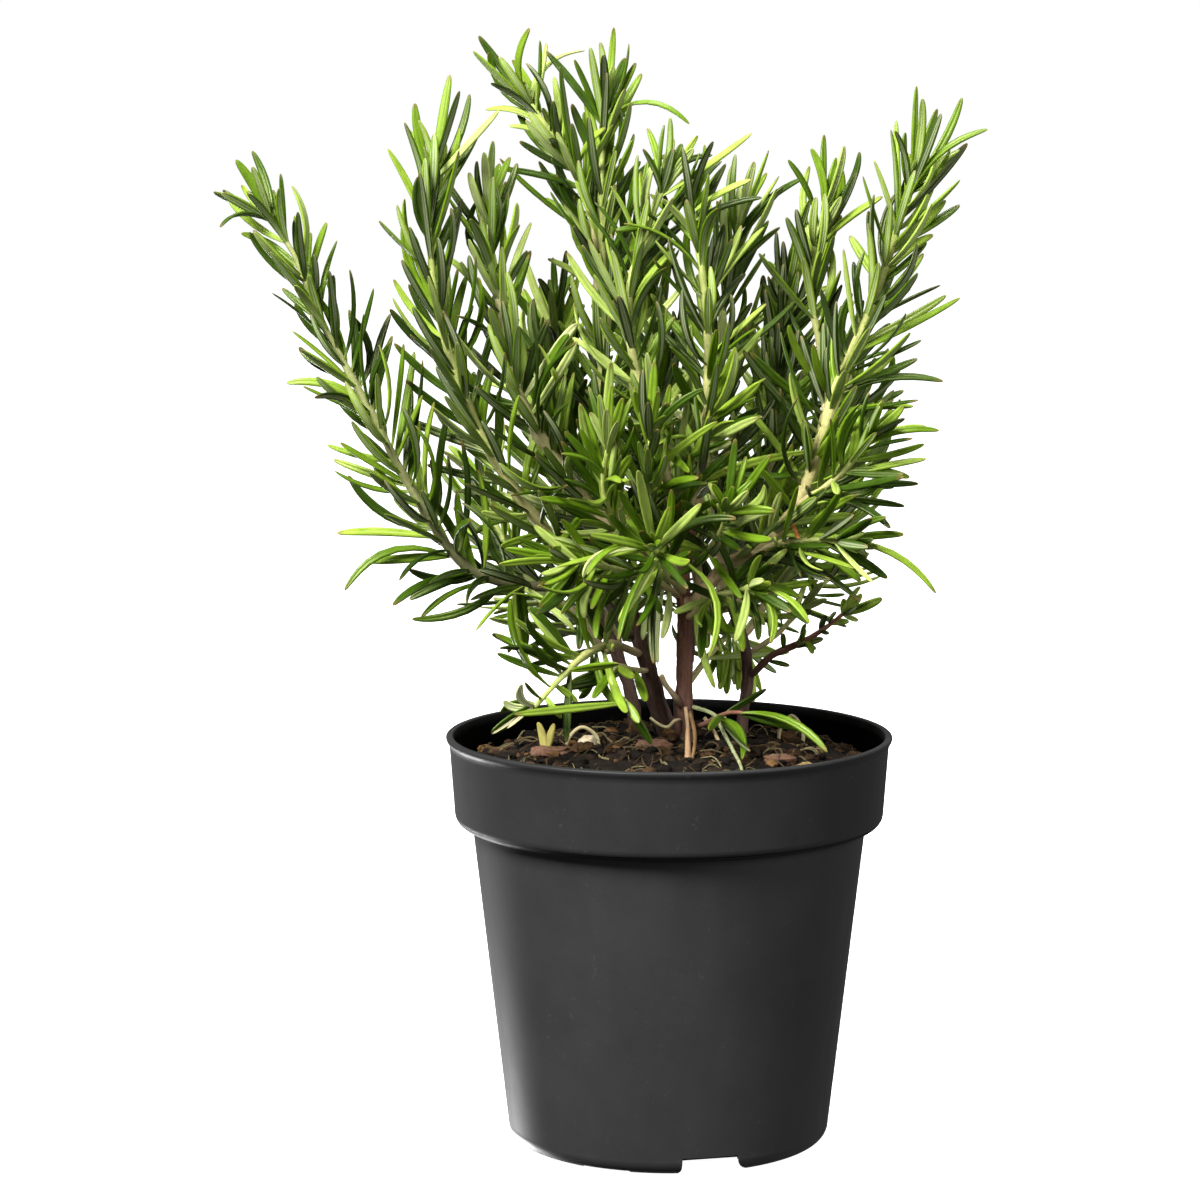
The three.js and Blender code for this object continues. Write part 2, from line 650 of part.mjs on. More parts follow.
    from: ["trunk_centre", 0.76],
    points: [[1, -14, 153], [-1, -20, 156], [-2, -27, 160], [-4, -34, 164]],
    radius: [1.1, 0.7],
    leaves: { first: 0.35, spacing: 12, length: [22, 18], spread: [60, 40], seed: 163 },
    tips: [
      [0.99, -21, -48, 159, -1.2, 2.8], [0.91, -13, -46, 142, -3.2, 1.4],
      [0.73, -4, -40, 135, -1.6, 0.1], [0.95, 10, -50, 138, 6, 3], [1, -29, -40, 160, -0.3, 1.5],
      [1, 8, -46, 177], [0.92, 17, -44, 173, -0.7, 1.6], [1, -13, -42, 180], [1, -8, -50, 186],
      [0.95, -20, -46, 169], [0.62, -10, -36, 151], [0.95, 5, -52, 163],
    ],
  },
  {
    name: "shoot_front_left",
    from: ["shoot_left_centre", 0.1],
    points: [[-13, -11, 165], [-15, -16, 169], [-17, -21, 176], [-17, -25, 183], [-16, -28, 189]],
    radius: [1.0, 0.6],
    leaves: { first: 0.25, spacing: 9, length: [22, 18], spread: [48, 26], seed: 167 },
    tips: [
      [1, -15, -30, 206], [0.93, -21, -24, 205], [0.67, -23, -32, 201], [0.57, -14, -34, 192],
      [0.52, -28, -26, 191], [0.42, -27, -34, 182], [0.78, -10, -24, 202], [0.26, -23, -30, 171],
    ],
  },
  {
    name: "shoot_front_centre",
    from: ["trunk_centre", 0.85],
    points: [[0, -13, 165], [-4, -18, 171], [-5, -23, 178], [-6, -27, 185], [-5, -30, 192]],
    radius: [1.0, 0.6],
    leaves: { first: 0.25, spacing: 9, length: [22, 18], spread: [46, 26], seed: 173 },
    tips: [
      [1, -4, -30, 212], [0.92, -9, -36, 206], [0.85, 0, -26, 206], [0.6, -8, -36, 192],
      [0.5, -1, -38, 193], [0.4, -13, -28, 192], [0.25, 5, -30, 188], [0.2, -10, -34, 182],
    ],
  },
  {
    name: "shoot_front_right",
    from: ["trunk_centre", 0.84],
    points: [[9, -12, 159], [12, -18, 164], [14, -24, 169], [15, -30, 174]],
    radius: [1.0, 0.6],
    leaves: { first: 0.25, spacing: 10, length: [20, 12], spread: [52, 35], seed: 179 },
    tips: [
      [1, 11, -36, 181], [1, 20, -38, 180], [0.93, 27, -36, 174], [0.87, 26, -30, 188],
      [0.68, 26, -38, 167], [0.59, 3, -30, 176], [0.35, -2, -28, 166], [0.97, 17, -28, 192],
    ],
  },
  {
    name: "shoot_low_front_left",
    from: ["trunk_centre", 0.745],
    points: [[-5, -9, 153], [-10, -14, 155], [-16, -19, 157], [-21, -24, 159], [-26, -28, 160]],
    radius: [1.0, 0.6],
    leaves: { first: 0.25, spacing: 10, length: [22, 16], spread: [55, 35], seed: 181 },
    tips: [
      [1, -44, -36, 160], [0.98, -39, -30, 166], [0.92, -32, -36, 155], [0.74, -32, -20, 163],
      [0.62, -22, -28, 145, -1.7, 0.5], [0.48, -19, -30, 140, -2.3, 0.5], [0.32, -24, -28, 164],
      [0.8, -28, -32, 171],
    ],
  },
  {
    name: "shoot_low_front_right",
    from: ["trunk_centre", 0.665],
    points: [[9, -9, 147], [12, -14, 149], [17, -20, 151], [21, -26, 153]],
    radius: [1.0, 0.6],
    leaves: { first: 0.3, spacing: 10, length: [20, 16], spread: [60, 40], seed: 191 },
    tips: [
      [1, 36, -36, 145, 1.6, 2.4], [0.98, 26, -38, 140, 2.6, 1.1], [0.96, 34, -26, 150, 0.3, 1.1],
      [0.68, 23, -32, 145, 0.9, 0.8], [0.71, 20, -26, 137, 1.3, 0.2],
      [0.33, 16, -22, 135, 1.5, 0.4], [0.81, 27, -32, 160], [0.33, 13, -30, 137, 1.1, 0.1],
      [0.17, 8, -24, 134],
    ],
  },
  {
    name: "shoot_at_base",
    from: ["trunk_centre", 0.25],
    points: [[11, -10, 115], [15, -15, 118], [19, -20, 119]],
    radius: [0.8, 0.5],
    leaves: { first: 0.6, spacing: 9, length: [14, 12], spread: [55, 40], seed: 193 },
    tips: [[1, 41, -34, 111, 0.8, 1.8], [0.94, 34, -22, 115], [0.53, 21, -38, 112, 1.2, 0.8]],
  },
  {
    name: "shoot_back_centre",
    from: ["trunk_back", 1],
    points: [[6, 34, 158], [2, 37, 176], [-2, 38, 195], [-5, 37, 214], [-7, 35, 232]],
    radius: [1.4, 0.6],
    leaves: { first: 0.05, spacing: 9.5, length: [24, 17], spread: [50, 24], seed: 197 },
    tips: [],
  },
  {
    name: "shoot_back_right",
    from: ["trunk_back", 0.86],
    points: [[16, 34, 148], [22, 37, 165], [27, 39, 184], [30, 40, 202], [32, 40, 219]],
    radius: [1.3, 0.6],
    leaves: { first: 0.05, spacing: 9.5, length: [24, 17], spread: [50, 24], seed: 199 },
    tips: [],
  },
  {
    name: "shoot_back_right_low",
    from: ["trunk_back", 0.74],
    points: [[15, 36, 140], [26, 46, 150], [36, 55, 163], [42, 60, 178]],
    radius: [1.2, 0.6],
    leaves: { first: 0.15, spacing: 9.5, length: [24, 16], spread: [55, 28], seed: 211 },
    tips: [],
  },
  {
    name: "shoot_back",
    from: ["trunk_back", 0.66],
    points: [[4, 40, 138], [3, 52, 150], [0, 62, 166], [-4, 67, 186], [-6, 68, 202]],
    radius: [1.2, 0.6],
    leaves: { first: 0.15, spacing: 9.5, length: [24, 16], spread: [52, 26], seed: 223 },
    tips: [],
  },
  {
    name: "shoot_back_left",
    from: ["trunk_back_left", 1],
    points: [[-24, 37, 152], [-29, 41, 170], [-32, 42, 190], [-33, 41, 210]],
    radius: [1.3, 0.6],
    leaves: { first: 0.05, spacing: 9.5, length: [24, 17], spread: [50, 24], seed: 227 },
    tips: [],
  },
  {
    name: "shoot_back_far_left",
    from: ["trunk_back_left", 0.8],
    points: [[-26, 34, 138], [-38, 42, 146], [-47, 48, 158], [-52, 51, 172]],
    radius: [1.1, 0.6],
    leaves: { first: 0.15, spacing: 9.5, length: [23, 15], spread: [55, 28], seed: 229 },
    tips: [],
  },
  {
    name: "shoot_back_low",
    from: ["trunk_back_left", 0.66],
    points: [[-15, 38, 132], [-19, 52, 139], [-24, 64, 147], [-27, 73, 158]],
    radius: [1.1, 0.6],
    leaves: { first: 0.2, spacing: 9, length: [22, 15], spread: [55, 30], seed: 233 },
    tips: [],
  },
  {
    name: "shoot_side_right",
    from: ["trunk_right", 0.79],
    points: [[27, 14, 145], [36, 21, 155], [44, 27, 168], [49, 30, 184], [51, 31, 198]],
    radius: [1.1, 0.6],
    leaves: { first: 0.15, spacing: 9.5, length: [22, 16], spread: [52, 26], seed: 239 },
    tips: [],
  },
  {
    name: "shoot_inner_left",
    from: ["trunk_back_left", 0.9],
    points: [[-17, 23, 148], [-20, 21, 166], [-26, 19, 186], [-30, 18, 206], [-31, 17, 222]],
    radius: [1.2, 0.6],
    leaves: { first: 0.1, spacing: 9, length: [23, 17], spread: [48, 24], seed: 241 },
    tips: [],
  },
  {
    name: "shoot_back_drooping",
    from: ["trunk_back", 0.5],
    points: [[10, 38, 124], [16, 50, 129], [20, 61, 128], [22, 71, 122]],
    radius: [1.0, 0.5],
    leaves: { first: 0.3, spacing: 9, length: [20, 14], spread: [55, 35], seed: 251 },
    tips: [],
  },
];

const DEPTH_TRIES = [0, 3, -3, 6, -6, 9, -9]; // front or back shifts of a placed leaf's tip
const ANGLE_TRIES = 7;
const NODE_STAGGER = 0.005; // keeps the feet of placed leaves apart, as a share of the stem

function placeTips(shoot) {
  shoot.tips.forEach(([share, x, y, z, ...bow], i) => {
    const foot = share - NODE_STAGGER * (i % 4);
    for (const shift of DEPTH_TRIES) {
      const leaf = leafToTip(shoot.stem, foot, [x, y + shift, z], bow.length ? bow : null);
      if (clashes(shoot.name, leaf) || !clearOfPot(leaf)) continue;
      holdRoomForLeaf(shoot.name, leaf);
      shoot.grown.push(leaf);
      break;
    }
  });
}

// Pairs of leaves, each pair a quarter turn on from the one below it.
function growPairs(shoot) {
  const plan = shoot.leaves;
  const jitter = (range) => (shoot.random() * 2 - 1) * range;
  const pairs = Math.floor((shoot.stem.length * (1 - plan.first)) / plan.spacing);
  for (let k = 0; k <= pairs; k++) {
    const t = k / Math.max(pairs, 1);
    const share = plan.first + (0.985 - plan.first) * t;
    for (const half of [0, Math.PI]) {
      for (let trial = 0; trial < ANGLE_TRIES; trial++) {
        const loose = 0.2 + 0.12 * trial;
        const turn = Math.PI / 4 + half + (k * Math.PI) / 2 + jitter(loose);
        const spread = radians(blend(plan.spread, t) * (1 + jitter(loose)));
        const length = blend(plan.length, t) * (1 + jitter(0.16));
        const curl = radians(jitter(16));
        const leaf = leafByAngles(shoot.stem, share, turn, spread, length, curl);
        if (clashes(shoot.name, leaf) || !clearOfPot(leaf)) continue;
        holdRoomForLeaf(shoot.name, leaf);
        shoot.grown.push(leaf);
        break;
      }
    }
  }
}

const stems = new Map();

function buildTrunks() {
  for (const trunk of TRUNKS) {
    const foot = trunk.points[0];
    const root = [foot[0], foot[1], foot[2] - ROOT_DEPTH];
    trunk.stem = makeStem([root, ...trunk.points], trunk.radius);
    stems.set(trunk.name, trunk.stem);
    holdRoomForStem(trunk.name, trunk.stem);
  }
}

function buildFibres() {
  for (const fibre of FIBRES) {
    const [first] = fibre.points;
    const seat = fibre.from && [seatOn(stems.get(fibre.from[0]), fibre.from[1], first, fibre.radius[0])];
    fibre.stem = makeStem([...(seat ?? []), ...fibre.points], fibre.radius);
    holdRoomForStem(fibre.name, fibre.stem);
  }
}

function buildShoots() {
  for (const shoot of SHOOTS) {
    const [parent, share] = shoot.from;
    const seat = seatOn(stems.get(parent), share, shoot.points[0], shoot.radius[0]);
    shoot.random = randomFrom(shoot.leaves.seed);
    shoot.stem = makeStem([seat, ...shoot.points], shoot.radius, shoot.random() * Math.PI);
    shoot.grown = [];
    stems.set(shoot.name, shoot.stem);
    holdRoomForStem(shoot.name, shoot.stem);
  }
  SHOOTS.forEach(placeTips);
  SHOOTS.forEach(growPairs);
}

function shootSolid(shoot) {
  const wood = stemSolid(shoot.stem, STEM_SIDES);
  return shoot.grown.reduce((solid, leaf) => solid.add(leafSolid(leaf)), wood);
}

// ---- Compost ----
function compostHeight(x, y) {
  const r = Math.sqrt(x * x + y * y) / COMPOST.radius;
  const swell = 0.7 * Math.sin(x / 7 + 1) * Math.cos(y / 6) + 0.35 * Math.sin(x / 3.1 + y / 4.3);
  return COMPOST.crown + (COMPOST.edge - COMPOST.crown) * r * r + swell;
}

function lathe(points, segments) {
  const profile = points.map(([r, z]) => new THREE.Vector2(r, z));
  const geometry = new THREE.LatheGeometry(profile, segments);
  geometry.rotateX(Math.PI / 2);
  return geometry;
}

// The inner wall's radius at a height, inside the straight part below the step.
function innerRadius(z) {
  const slope = (POT.bodyRadius - POT.footRadius) / POT.stepHeight;
  return POT.footRadius + slope * z - POT.wall;
}

function compostSolid() {
  const low = POT.floor + GAP;
  const profile = [
    [0, low],
    [innerRadius(0) - 3.5, low],
    [innerRadius(4) - GAP, 4.6],
    [innerRadius(POT.stepHeight) - GAP, POT.stepHeight + POT.wall + GAP],
    [POT.bandLowRadius - POT.wall - 3 - GAP, POT.stepHeight + POT.wall + GAP],
    [POT.bandLowRadius - POT.wall - GAP - 0.3, POT.stepHeight + 5],
  ];
  for (let ring = COMPOST.rings; ring >= 0; ring--) {
    profile.push([(COMPOST.radius * ring) / COMPOST.rings, POT.height]);
  }
  const geometry = lathe(profile, COMPOST.segments);
  const at = geometry.attributes.position;
  for (let i = 0; i < at.count; i++) {
    if (at.getZ(i) > POT.height - 1) at.setZ(i, compostHeight(at.getX(i), at.getY(i)));
  }
  return solidFrom(geometry);
}

// ---- Pot ----
function arc(centreR, centreZ, radius, fromDegrees, toDegrees, steps) {
  const points = [];
  for (let i = 0; i <= steps; i++) {
    const angle = radians(fromDegrees + ((toDegrees - fromDegrees) * i) / steps);
    points.push([centreR + radius * Math.cos(angle), centreZ + radius * Math.sin(angle)]);
  }
  return points;
}

function potProfile() {
  const { wall, footRound, shoulderRound } = POT;
  const slope = (POT.bodyRadius - POT.footRadius) / POT.stepHeight;
  const footCentre = POT.footRadius - footRound + slope * footRound;
  const shoulderZ = POT.stepHeight + shoulderRound;
  const inner = [
    [POT.bandTopRadius - wall, POT.bandTop],
    [POT.bandLowRadius - wall, shoulderZ + 1],
    [POT.bandLowRadius - wall - 2.6, POT.stepHeight + wall],
    [innerRadius(POT.stepHeight), POT.stepHeight + wall - 0.4],
    [innerRadius(4), 4],
    [innerRadius(0) - 3, POT.floor],
    [0, POT.floor],
  ];
  return [
    [0, 0],
    ...arc(footCentre, footRound, footRound, -90, 0, 3),
    [POT.bodyRadius, POT.stepHeight],
    ...arc(POT.bandLowRadius - shoulderRound, shoulderZ, shoulderRound, -90, 0, 2),
    [POT.bandTopRadius, POT.bandTop],
    [POT.lipRadius - 0.3, POT.bandTop + 0.3],
    [POT.lipRadius, POT.bandTop + 1.5],
    [POT.lipRadius - 0.5, POT.height],
    [POT.bandTopRadius - 0.9, POT.height],
    ...inner,
  ];
}

// A block that runs outwards along a direction given in degrees from the front.
function radialBlock(from, to, width, low, high, degrees) {
  const geometry = new THREE.BoxGeometry(to - from, width, high - low);
  geometry.translate((from + to) / 2, 0, (low + high) / 2);
  geometry.rotateZ(radians(degrees - 90));
  return solidFrom(geometry);
}

function drainHole(degrees) {
  const angle = radians(degrees - 90);
  const geometry = new THREE.CylinderGeometry(DRAIN.holeRadius, DRAIN.holeRadius, 12, 16);
  geometry.rotateX(Math.PI / 2);
  const x = DRAIN.holeAt * Math.cos(angle);
  const y = DRAIN.holeAt * Math.sin(angle);
  geometry.translate(x, y, DRAIN.height);
  return solidFrom(geometry);
}

const drainAngles = [...Array(DRAIN.count).keys()].map((i) => (360 / DRAIN.count) * i);

// The raised roof over a drainage channel; grow widens it for the compost around it.
function drainRoof(degrees, grow) {
  const wide = DRAIN.width + 2 * POT.wall + 2 * grow;
  const inner = DRAIN.inner - POT.wall - grow;
  return radialBlock(inner, POT.footRadius + 6, wide, 0.5, DRAIN.height + POT.wall + grow, degrees);
}

function potSolid() {
  const outer = potProfile().slice(0, -7);
  const shell = solidFrom(lathe([...outer, [0, POT.height]], POT.segments));
  let pot = solidFrom(lathe(potProfile(), POT.segments));
  for (const turn of drainAngles) {
    pot = pot.add(drainRoof(DRAIN.firstAngle + turn, 0).intersect(shell));
  }
  for (const turn of drainAngles) {
    const degrees = DRAIN.firstAngle + turn;
    const far = POT.footRadius + 10;
    pot = pot.subtract(radialBlock(DRAIN.inner, far, DRAIN.width, -1, DRAIN.height, degrees));
    pot = pot.subtract(drainHole(degrees));
    const recess = DRAIN.recessAngle + turn;
    const deep = DRAIN.recessDepth;
    pot = pot.subtract(radialBlock(DRAIN.inner, far, DRAIN.recessWidth, -1, deep, recess));
  }
  return pot;
}

// ---- Small pieces on the compost ----
// Thin pieces: points of the centre line and the end radii. Those with from start on a stem.
const FIBRES = [
  {
    name: "dry_stalk",
    points: [[5, -9, 113.5], [5, -14, 110.8], [5, -20, 107.8], [5, -24, 105]],
    radius: [0.9, 0.9],
  },
  {
    name: "root_front",
    points: [[9.5, -2, 114.6], [11, -4, 112.8], [13, -7, 109.8], [14.5, -9, 105]],
    radius: [0.5, 0.5],
  },
  {
    name: "sprout_stalk",
    points: [[14, -6, 116.4], [17.5, -10, 111.5], [20, -14, 108.7], [19.6, -20, 104.5]],
    radius: [0.6, 0.6],
  },
  {
    name: "fibre_loop_right",
    points: [[30, 12, 103.5], [30, 12, 109], [33, 12, 113], [36, 12, 109.5], [36, 12, 103.5]],
    radius: [0.5, 0.5],
  },
  {
    name: "fibre_arch_left",
    points: [[-28, -1, 104.5], [-26, -1, 110.5], [-23, -1, 111.8], [-20, -1, 110.5], [-18.5, -1, 105]],
    radius: [0.5, 0.5],
  },
  {
    name: "root_between_trunks",
    from: ["trunk_centre", 0.28],
    points: [[2, -7, 115], [-1, -7, 112.8], [-5, -7, 115.4]],
    radius: [0.5, 0.4],
  },
  {
    name: "dead_twig",
    from: ["trunk_centre", 0.34],
    points: [[2, -7, 120.5], [-1, -7.5, 124.5], [-2, -8, 127]],
    radius: [0.9, 0.7],
  },
];

// Chips of bark and crumbs: centre in plan, half sizes, turn in degrees and a seed.
const CHIPS = [
  { name: "bark_chip_left", at: [-31, -10], half: [5, 3, 1.5], turn: -8, seed: 5 },
  { name: "bark_chip_centre", at: [-4, -13], half: [4.4, 3, 1.6], turn: 14, seed: 7 },
  { name: "bark_chip_right", at: [29, -20], half: [4.6, 2.8, 1.4], turn: 35, seed: 9 },
  { name: "bark_chip_back", at: [16, 44], half: [5, 3, 1.4], turn: 60, seed: 13 },
  { name: "pale_crumb", at: [-21.5, -8], half: [2.4, 2.2, 2.8], turn: 0, seed: 17 },
];

// Dry leaves with their base in the compost, as base, middle and tip.
const DRY_LEAVES = {
  name: "dry_leaves",
  side: [1, -0.2, 0],
  base: [-33, -3.5, 103.5],
  tips: [[-35, -3.5, 113.6], [-30.6, -4.5, 113.4]],
};

function chipSolid(chip, grow) {
  const geometry = new THREE.IcosahedronGeometry(1, 0);
  geometry.deleteAttribute("normal");
  geometry.deleteAttribute("uv");
  const merged = mergeVertices(geometry, 1e-4);
  const random = randomFrom(chip.seed);
  const at = merged.attributes.position;
  for (let i = 0; i < at.count; i++) {
    const rough = 0.85 + 0.3 * random();
    const [a, b, c] = chip.half.map((h) => h * rough + grow);
    at.setXYZ(i, at.getX(i) * a, at.getY(i) * b, at.getZ(i) * c);
  }
  merged.rotateZ(radians(chip.turn));
  const [x, y] = chip.at;
  merged.translate(x, y, compostHeight(x, y) + chip.half[2] * 0.35);
  return solidFrom(merged);
}

function dryLeavesSolid(spec) {
  const leaves = spec.tips.map((tip) => {
    const leaf = { base: spec.base, mid: mix(spec.base, tip, 0.5), tip, side: spec.side };
    return leafSolid(leaf);
  });
  return leaves.reduce((solid, leaf) => solid.add(leaf));
}

// ---- Assembly ----
const LEAF_GREENS = [0x4d7a1e, 0x5f8f24, 0x3f6b22, 0x6f9c2c];
const FINISH = {
  pot: { color: 0x45464a, roughness: 0.55 },
  compost: { color: 0x2b1d14, roughness: 0.95 },
  wood: { color: 0x5a4030, roughness: 0.85 },
  bark: { color: 0x7a4a2c, roughness: 0.9 },
  straw: { color: 0xb69a6b, roughness: 0.85 },
  crumb: { color: 0xc9bda4, roughness: 0.9 },
  dryLeaf: { color: 0xa79c50, roughness: 0.75 },
};

const plant = new THREE.Group();

function place(name, solid, finish) {
  const material = new THREE.MeshStandardMaterial({ metalness: 0, ...finish });
  const mesh = new THREE.Mesh(geometryFrom(solid), material);
  mesh.name = name;
  plant.add(mesh);
}

function compostWithPockets() {
  let compost = compostSolid();
  for (const turn of drainAngles) {
    compost = compost.subtract(drainRoof(DRAIN.firstAngle + turn, GAP));
  }
  for (const trunk of TRUNKS) {
    const root = trunk.stem.samples[0];
    const lowered = [[root[0], root[1], root[2] - GAP], ...trunk.points.slice(0, 2)];
    const pocket = makeStem(lowered, trunk.radius);
    compost = compost.subtract(stemSolid(pocket, TRUNK_SIDES, GAP + 0.25));
  }
  for (const fibre of FIBRES) {
    compost = compost.subtract(stemSolid(fibre.stem, STEM_SIDES, GAP));
  }
  for (const chip of CHIPS) compost = compost.subtract(chipSolid(chip, GAP));
  const [x, y, z] = DRY_LEAVES.base;
  const pocket = makeStem([[x, y, z - 1.2], [x, y, z + 2], [x + 0.3, y - 0.2, z + 6]], [0.7, 2.6]);
  compost = compost.subtract(stemSolid(pocket, TRUNK_SIDES));
  return compost;
}

buildTrunks();
buildFibres();
buildShoots();

place("pot", potSolid(), FINISH.pot);
place("compost", compostWithPockets(), FINISH.compost);
for (const trunk of TRUNKS) {
  place(trunk.name, stemSolid(trunk.stem, TRUNK_SIDES), FINISH.wood);
}
SHOOTS.forEach((shoot, i) => {
  const color = LEAF_GREENS[i % LEAF_GREENS.length];
  place(shoot.name, shootSolid(shoot), { color, roughness: 0.5 });
});
for (const fibre of FIBRES) {
  place(fibre.name, stemSolid(fibre.stem, STEM_SIDES), FINISH.straw);
}
for (const chip of CHIPS) {
  const finish = chip.name === "pale_crumb" ? FINISH.crumb : FINISH.bark;
  place(chip.name, chipSolid(chip, 0), finish);
}
place(DRY_LEAVES.name, dryLeavesSolid(DRY_LEAVES), FINISH.dryLeaf);

export default plant;
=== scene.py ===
"""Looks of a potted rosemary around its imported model: leaves and stems that grow by the same
rules as the model's, bark, compost, the things lying on it, the pot, and a plain studio.
Plant and pot are described in millimetres and become metres when a mesh is made."""

import json
import math

import bmesh
import bpy
import numpy as np
from mathutils import Matrix, Vector, noise

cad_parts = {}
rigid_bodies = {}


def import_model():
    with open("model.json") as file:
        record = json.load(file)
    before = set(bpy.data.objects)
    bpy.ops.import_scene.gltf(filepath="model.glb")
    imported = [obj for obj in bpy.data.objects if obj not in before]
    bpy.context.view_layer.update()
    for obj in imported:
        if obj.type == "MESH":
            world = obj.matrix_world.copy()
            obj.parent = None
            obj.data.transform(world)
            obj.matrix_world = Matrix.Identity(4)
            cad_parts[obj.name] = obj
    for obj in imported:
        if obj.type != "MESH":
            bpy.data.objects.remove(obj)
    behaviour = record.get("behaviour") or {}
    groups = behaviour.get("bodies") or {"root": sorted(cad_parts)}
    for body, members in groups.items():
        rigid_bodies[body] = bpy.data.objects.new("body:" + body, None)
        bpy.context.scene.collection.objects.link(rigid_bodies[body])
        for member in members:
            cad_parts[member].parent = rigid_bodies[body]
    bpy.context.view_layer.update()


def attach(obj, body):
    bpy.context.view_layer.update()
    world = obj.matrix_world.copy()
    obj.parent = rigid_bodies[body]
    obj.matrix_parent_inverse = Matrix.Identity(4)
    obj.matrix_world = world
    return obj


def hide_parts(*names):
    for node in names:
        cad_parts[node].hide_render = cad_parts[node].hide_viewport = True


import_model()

MM = 0.001
FULL_TURN = 2 * math.pi
QUARTER_TURN = math.pi / 2

# ---- Driving dimensions, as in the model ----
GAP = 0.35  # between pieces that lie against each other
LIP_RADIUS = 60
POT_HEIGHT = 110
COMPOST_EDGE = 101  # heights of the compost at the wall and in the middle
COMPOST_CROWN = 108.6
COMPOST_RADIUS = 56.2
HALF_WIDTH = 1.2  # of a leaf, for the room that it takes
STEM_STEP = 12  # usual distance between the stations of a stem
LEAST_SPANS = 4
ROOT_DEPTH = 14  # of a trunk below its first point
STEEP = 0.9  # a path that climbs more than this is measured from a level direction
PARALLEL = 1e-9


# ---- Vectors and paths ----
def vec(*numbers):
    return np.array(numbers, dtype=float)


def size(a):
    return math.sqrt(a @ a)


def unit(a):
    return a / size(a)


def square_to(a, n):
    """The part of a that is square to the unit vector n, at length 1."""
    return unit(a - n * (a @ n))


def mix(a, b, t):
    return a * (1 - t) + b * t


def cross(a, b):
    return vec(
        a[1] * b[2] - a[2] * b[1], a[2] * b[0] - a[0] * b[2], a[0] * b[1] - a[1] * b[0]
    )


class Dice:
    """The same row of numbers from 0 to 1 for the same seed."""

    def __init__(self, seed):
        self.state = seed

    def roll(self):
        self.state = (self.state * 1664525 + 1013904223) % 4294967296
        return self.state / 4294967296

    def between(self, low, high):
        return low + (high - low) * self.roll()

    def jitter(self, reach):
        return (self.roll() * 2 - 1) * reach


def smooth_path(points, steps=6):
    """Points on a smooth curve through the given ones."""
    points = [vec(*p) for p in points]
    last = len(points) - 1
    path = []
    for i in range(last):
        a, d = points[max(i - 1, 0)], points[min(i + 2, last)]
        b, c = points[i], points[i + 1]
        for k in range(steps):
            t = k / steps
            path.append(
                a * (-0.5 * t**3 + t**2 - 0.5 * t)
                + b * (1.5 * t**3 - 2.5 * t**2 + 1)
                + c * (-1.5 * t**3 + 2 * t**2 + 0.5 * t)
                + d * (0.5 * t**3 - 0.5 * t**2)
            )
    return path + [points[last]]


def reach_along(path):
    reach = [0.0]
    for a, b in zip(path, path[1:]):
        reach.append(reach[-1] + size(b - a))
    return reach


def even_path(points):
    """The same curve through evenly spaced stations."""
    fine = smooth_path(points)
    reach = reach_along(fine)
    spans = max(LEAST_SPANS, math.floor(reach[-1] / STEM_STEP + 0.5))
    stations, i = [fine[0]], 0
    for k in range(1, spans):
        target = reach[-1] * k / spans
        while reach[i + 1] < target:
            i += 1
        stations.append(
            mix(fine[i], fine[i + 1], (target - reach[i]) / (reach[i + 1] - reach[i]))
        )
    return stations + [fine[-1]]


def frames_along(path, roll=0.0):
    """Directions of a path and side directions that turn as little as they can."""
    last = len(path) - 1
    tangents = [unit(path[min(i + 1, last)] - path[max(i - 1, 0)]) for i in range(last + 1)]
    start = vec(0, 0, 1) if abs(tangents[0][2]) < STEEP else vec(1, 0, 0)
    first = square_to(start, tangents[0])
    quarter = cross(tangents[0], first)
    normals = [first * math.cos(roll) + quarter * math.sin(roll)]
    for tangent in tangents[1:]:
        normals.append(square_to(normals[-1], tangent))
    return tangents, normals


class Stem:
    def __init__(self, points, radius, roll=0.0):
        self.samples = even_path(points)
        self.reach = reach_along(self.samples)
        self.length = self.reach[-1]
        self.tangents, self.normals = frames_along(self.samples, roll)
        self.radius = radius

    def at(self, share):
        """Place, direction, side direction and radius at a share of the length."""
        target = min(max(share, 0), 1) * self.length
        i = 0
        while i + 2 < len(self.reach) and self.reach[i + 1] < target:
            i += 1
        t = (target - self.reach[i]) / (self.reach[i + 1] - self.reach[i])
        tangent = unit(mix(self.tangents[i], self.tangents[i + 1], t))
        normal = square_to(mix(self.normals[i], self.normals[i + 1], t), tangent)
        point = mix(self.samples[i], self.samples[i + 1], t)
        return point, tangent, normal, mix(self.radius[0], self.radius[1], share)


def seat_on(parent, share, towards, radius):
    """Where a side stem starts: just off its parent's bark, or past the parent's end."""
    point, tangent, _, parent_radius = parent.at(share)
    away = unit(vec(*towards) - point)
    out = tangent if share == 1 else square_to(away, tangent)
    lean = math.sqrt(max(0, 1 - (away @ out) ** 2))
    bark = radius * lean if share == 1 else parent_radius + radius * lean
    return point + out * (bark + GAP)


def compost_height(x, y):
    """Lowest at the wall, with soft swells."""
    r = math.hypot(x, y) / COMPOST_RADIUS
    swell = 0.7 * math.sin(x / 7 + 1) * math.cos(y / 6) + 0.35 * math.sin(x / 3.1 + y / 4.3)
    return COMPOST_CROWN + (COMPOST_EDGE - COMPOST_CROWN) * r * r + swell


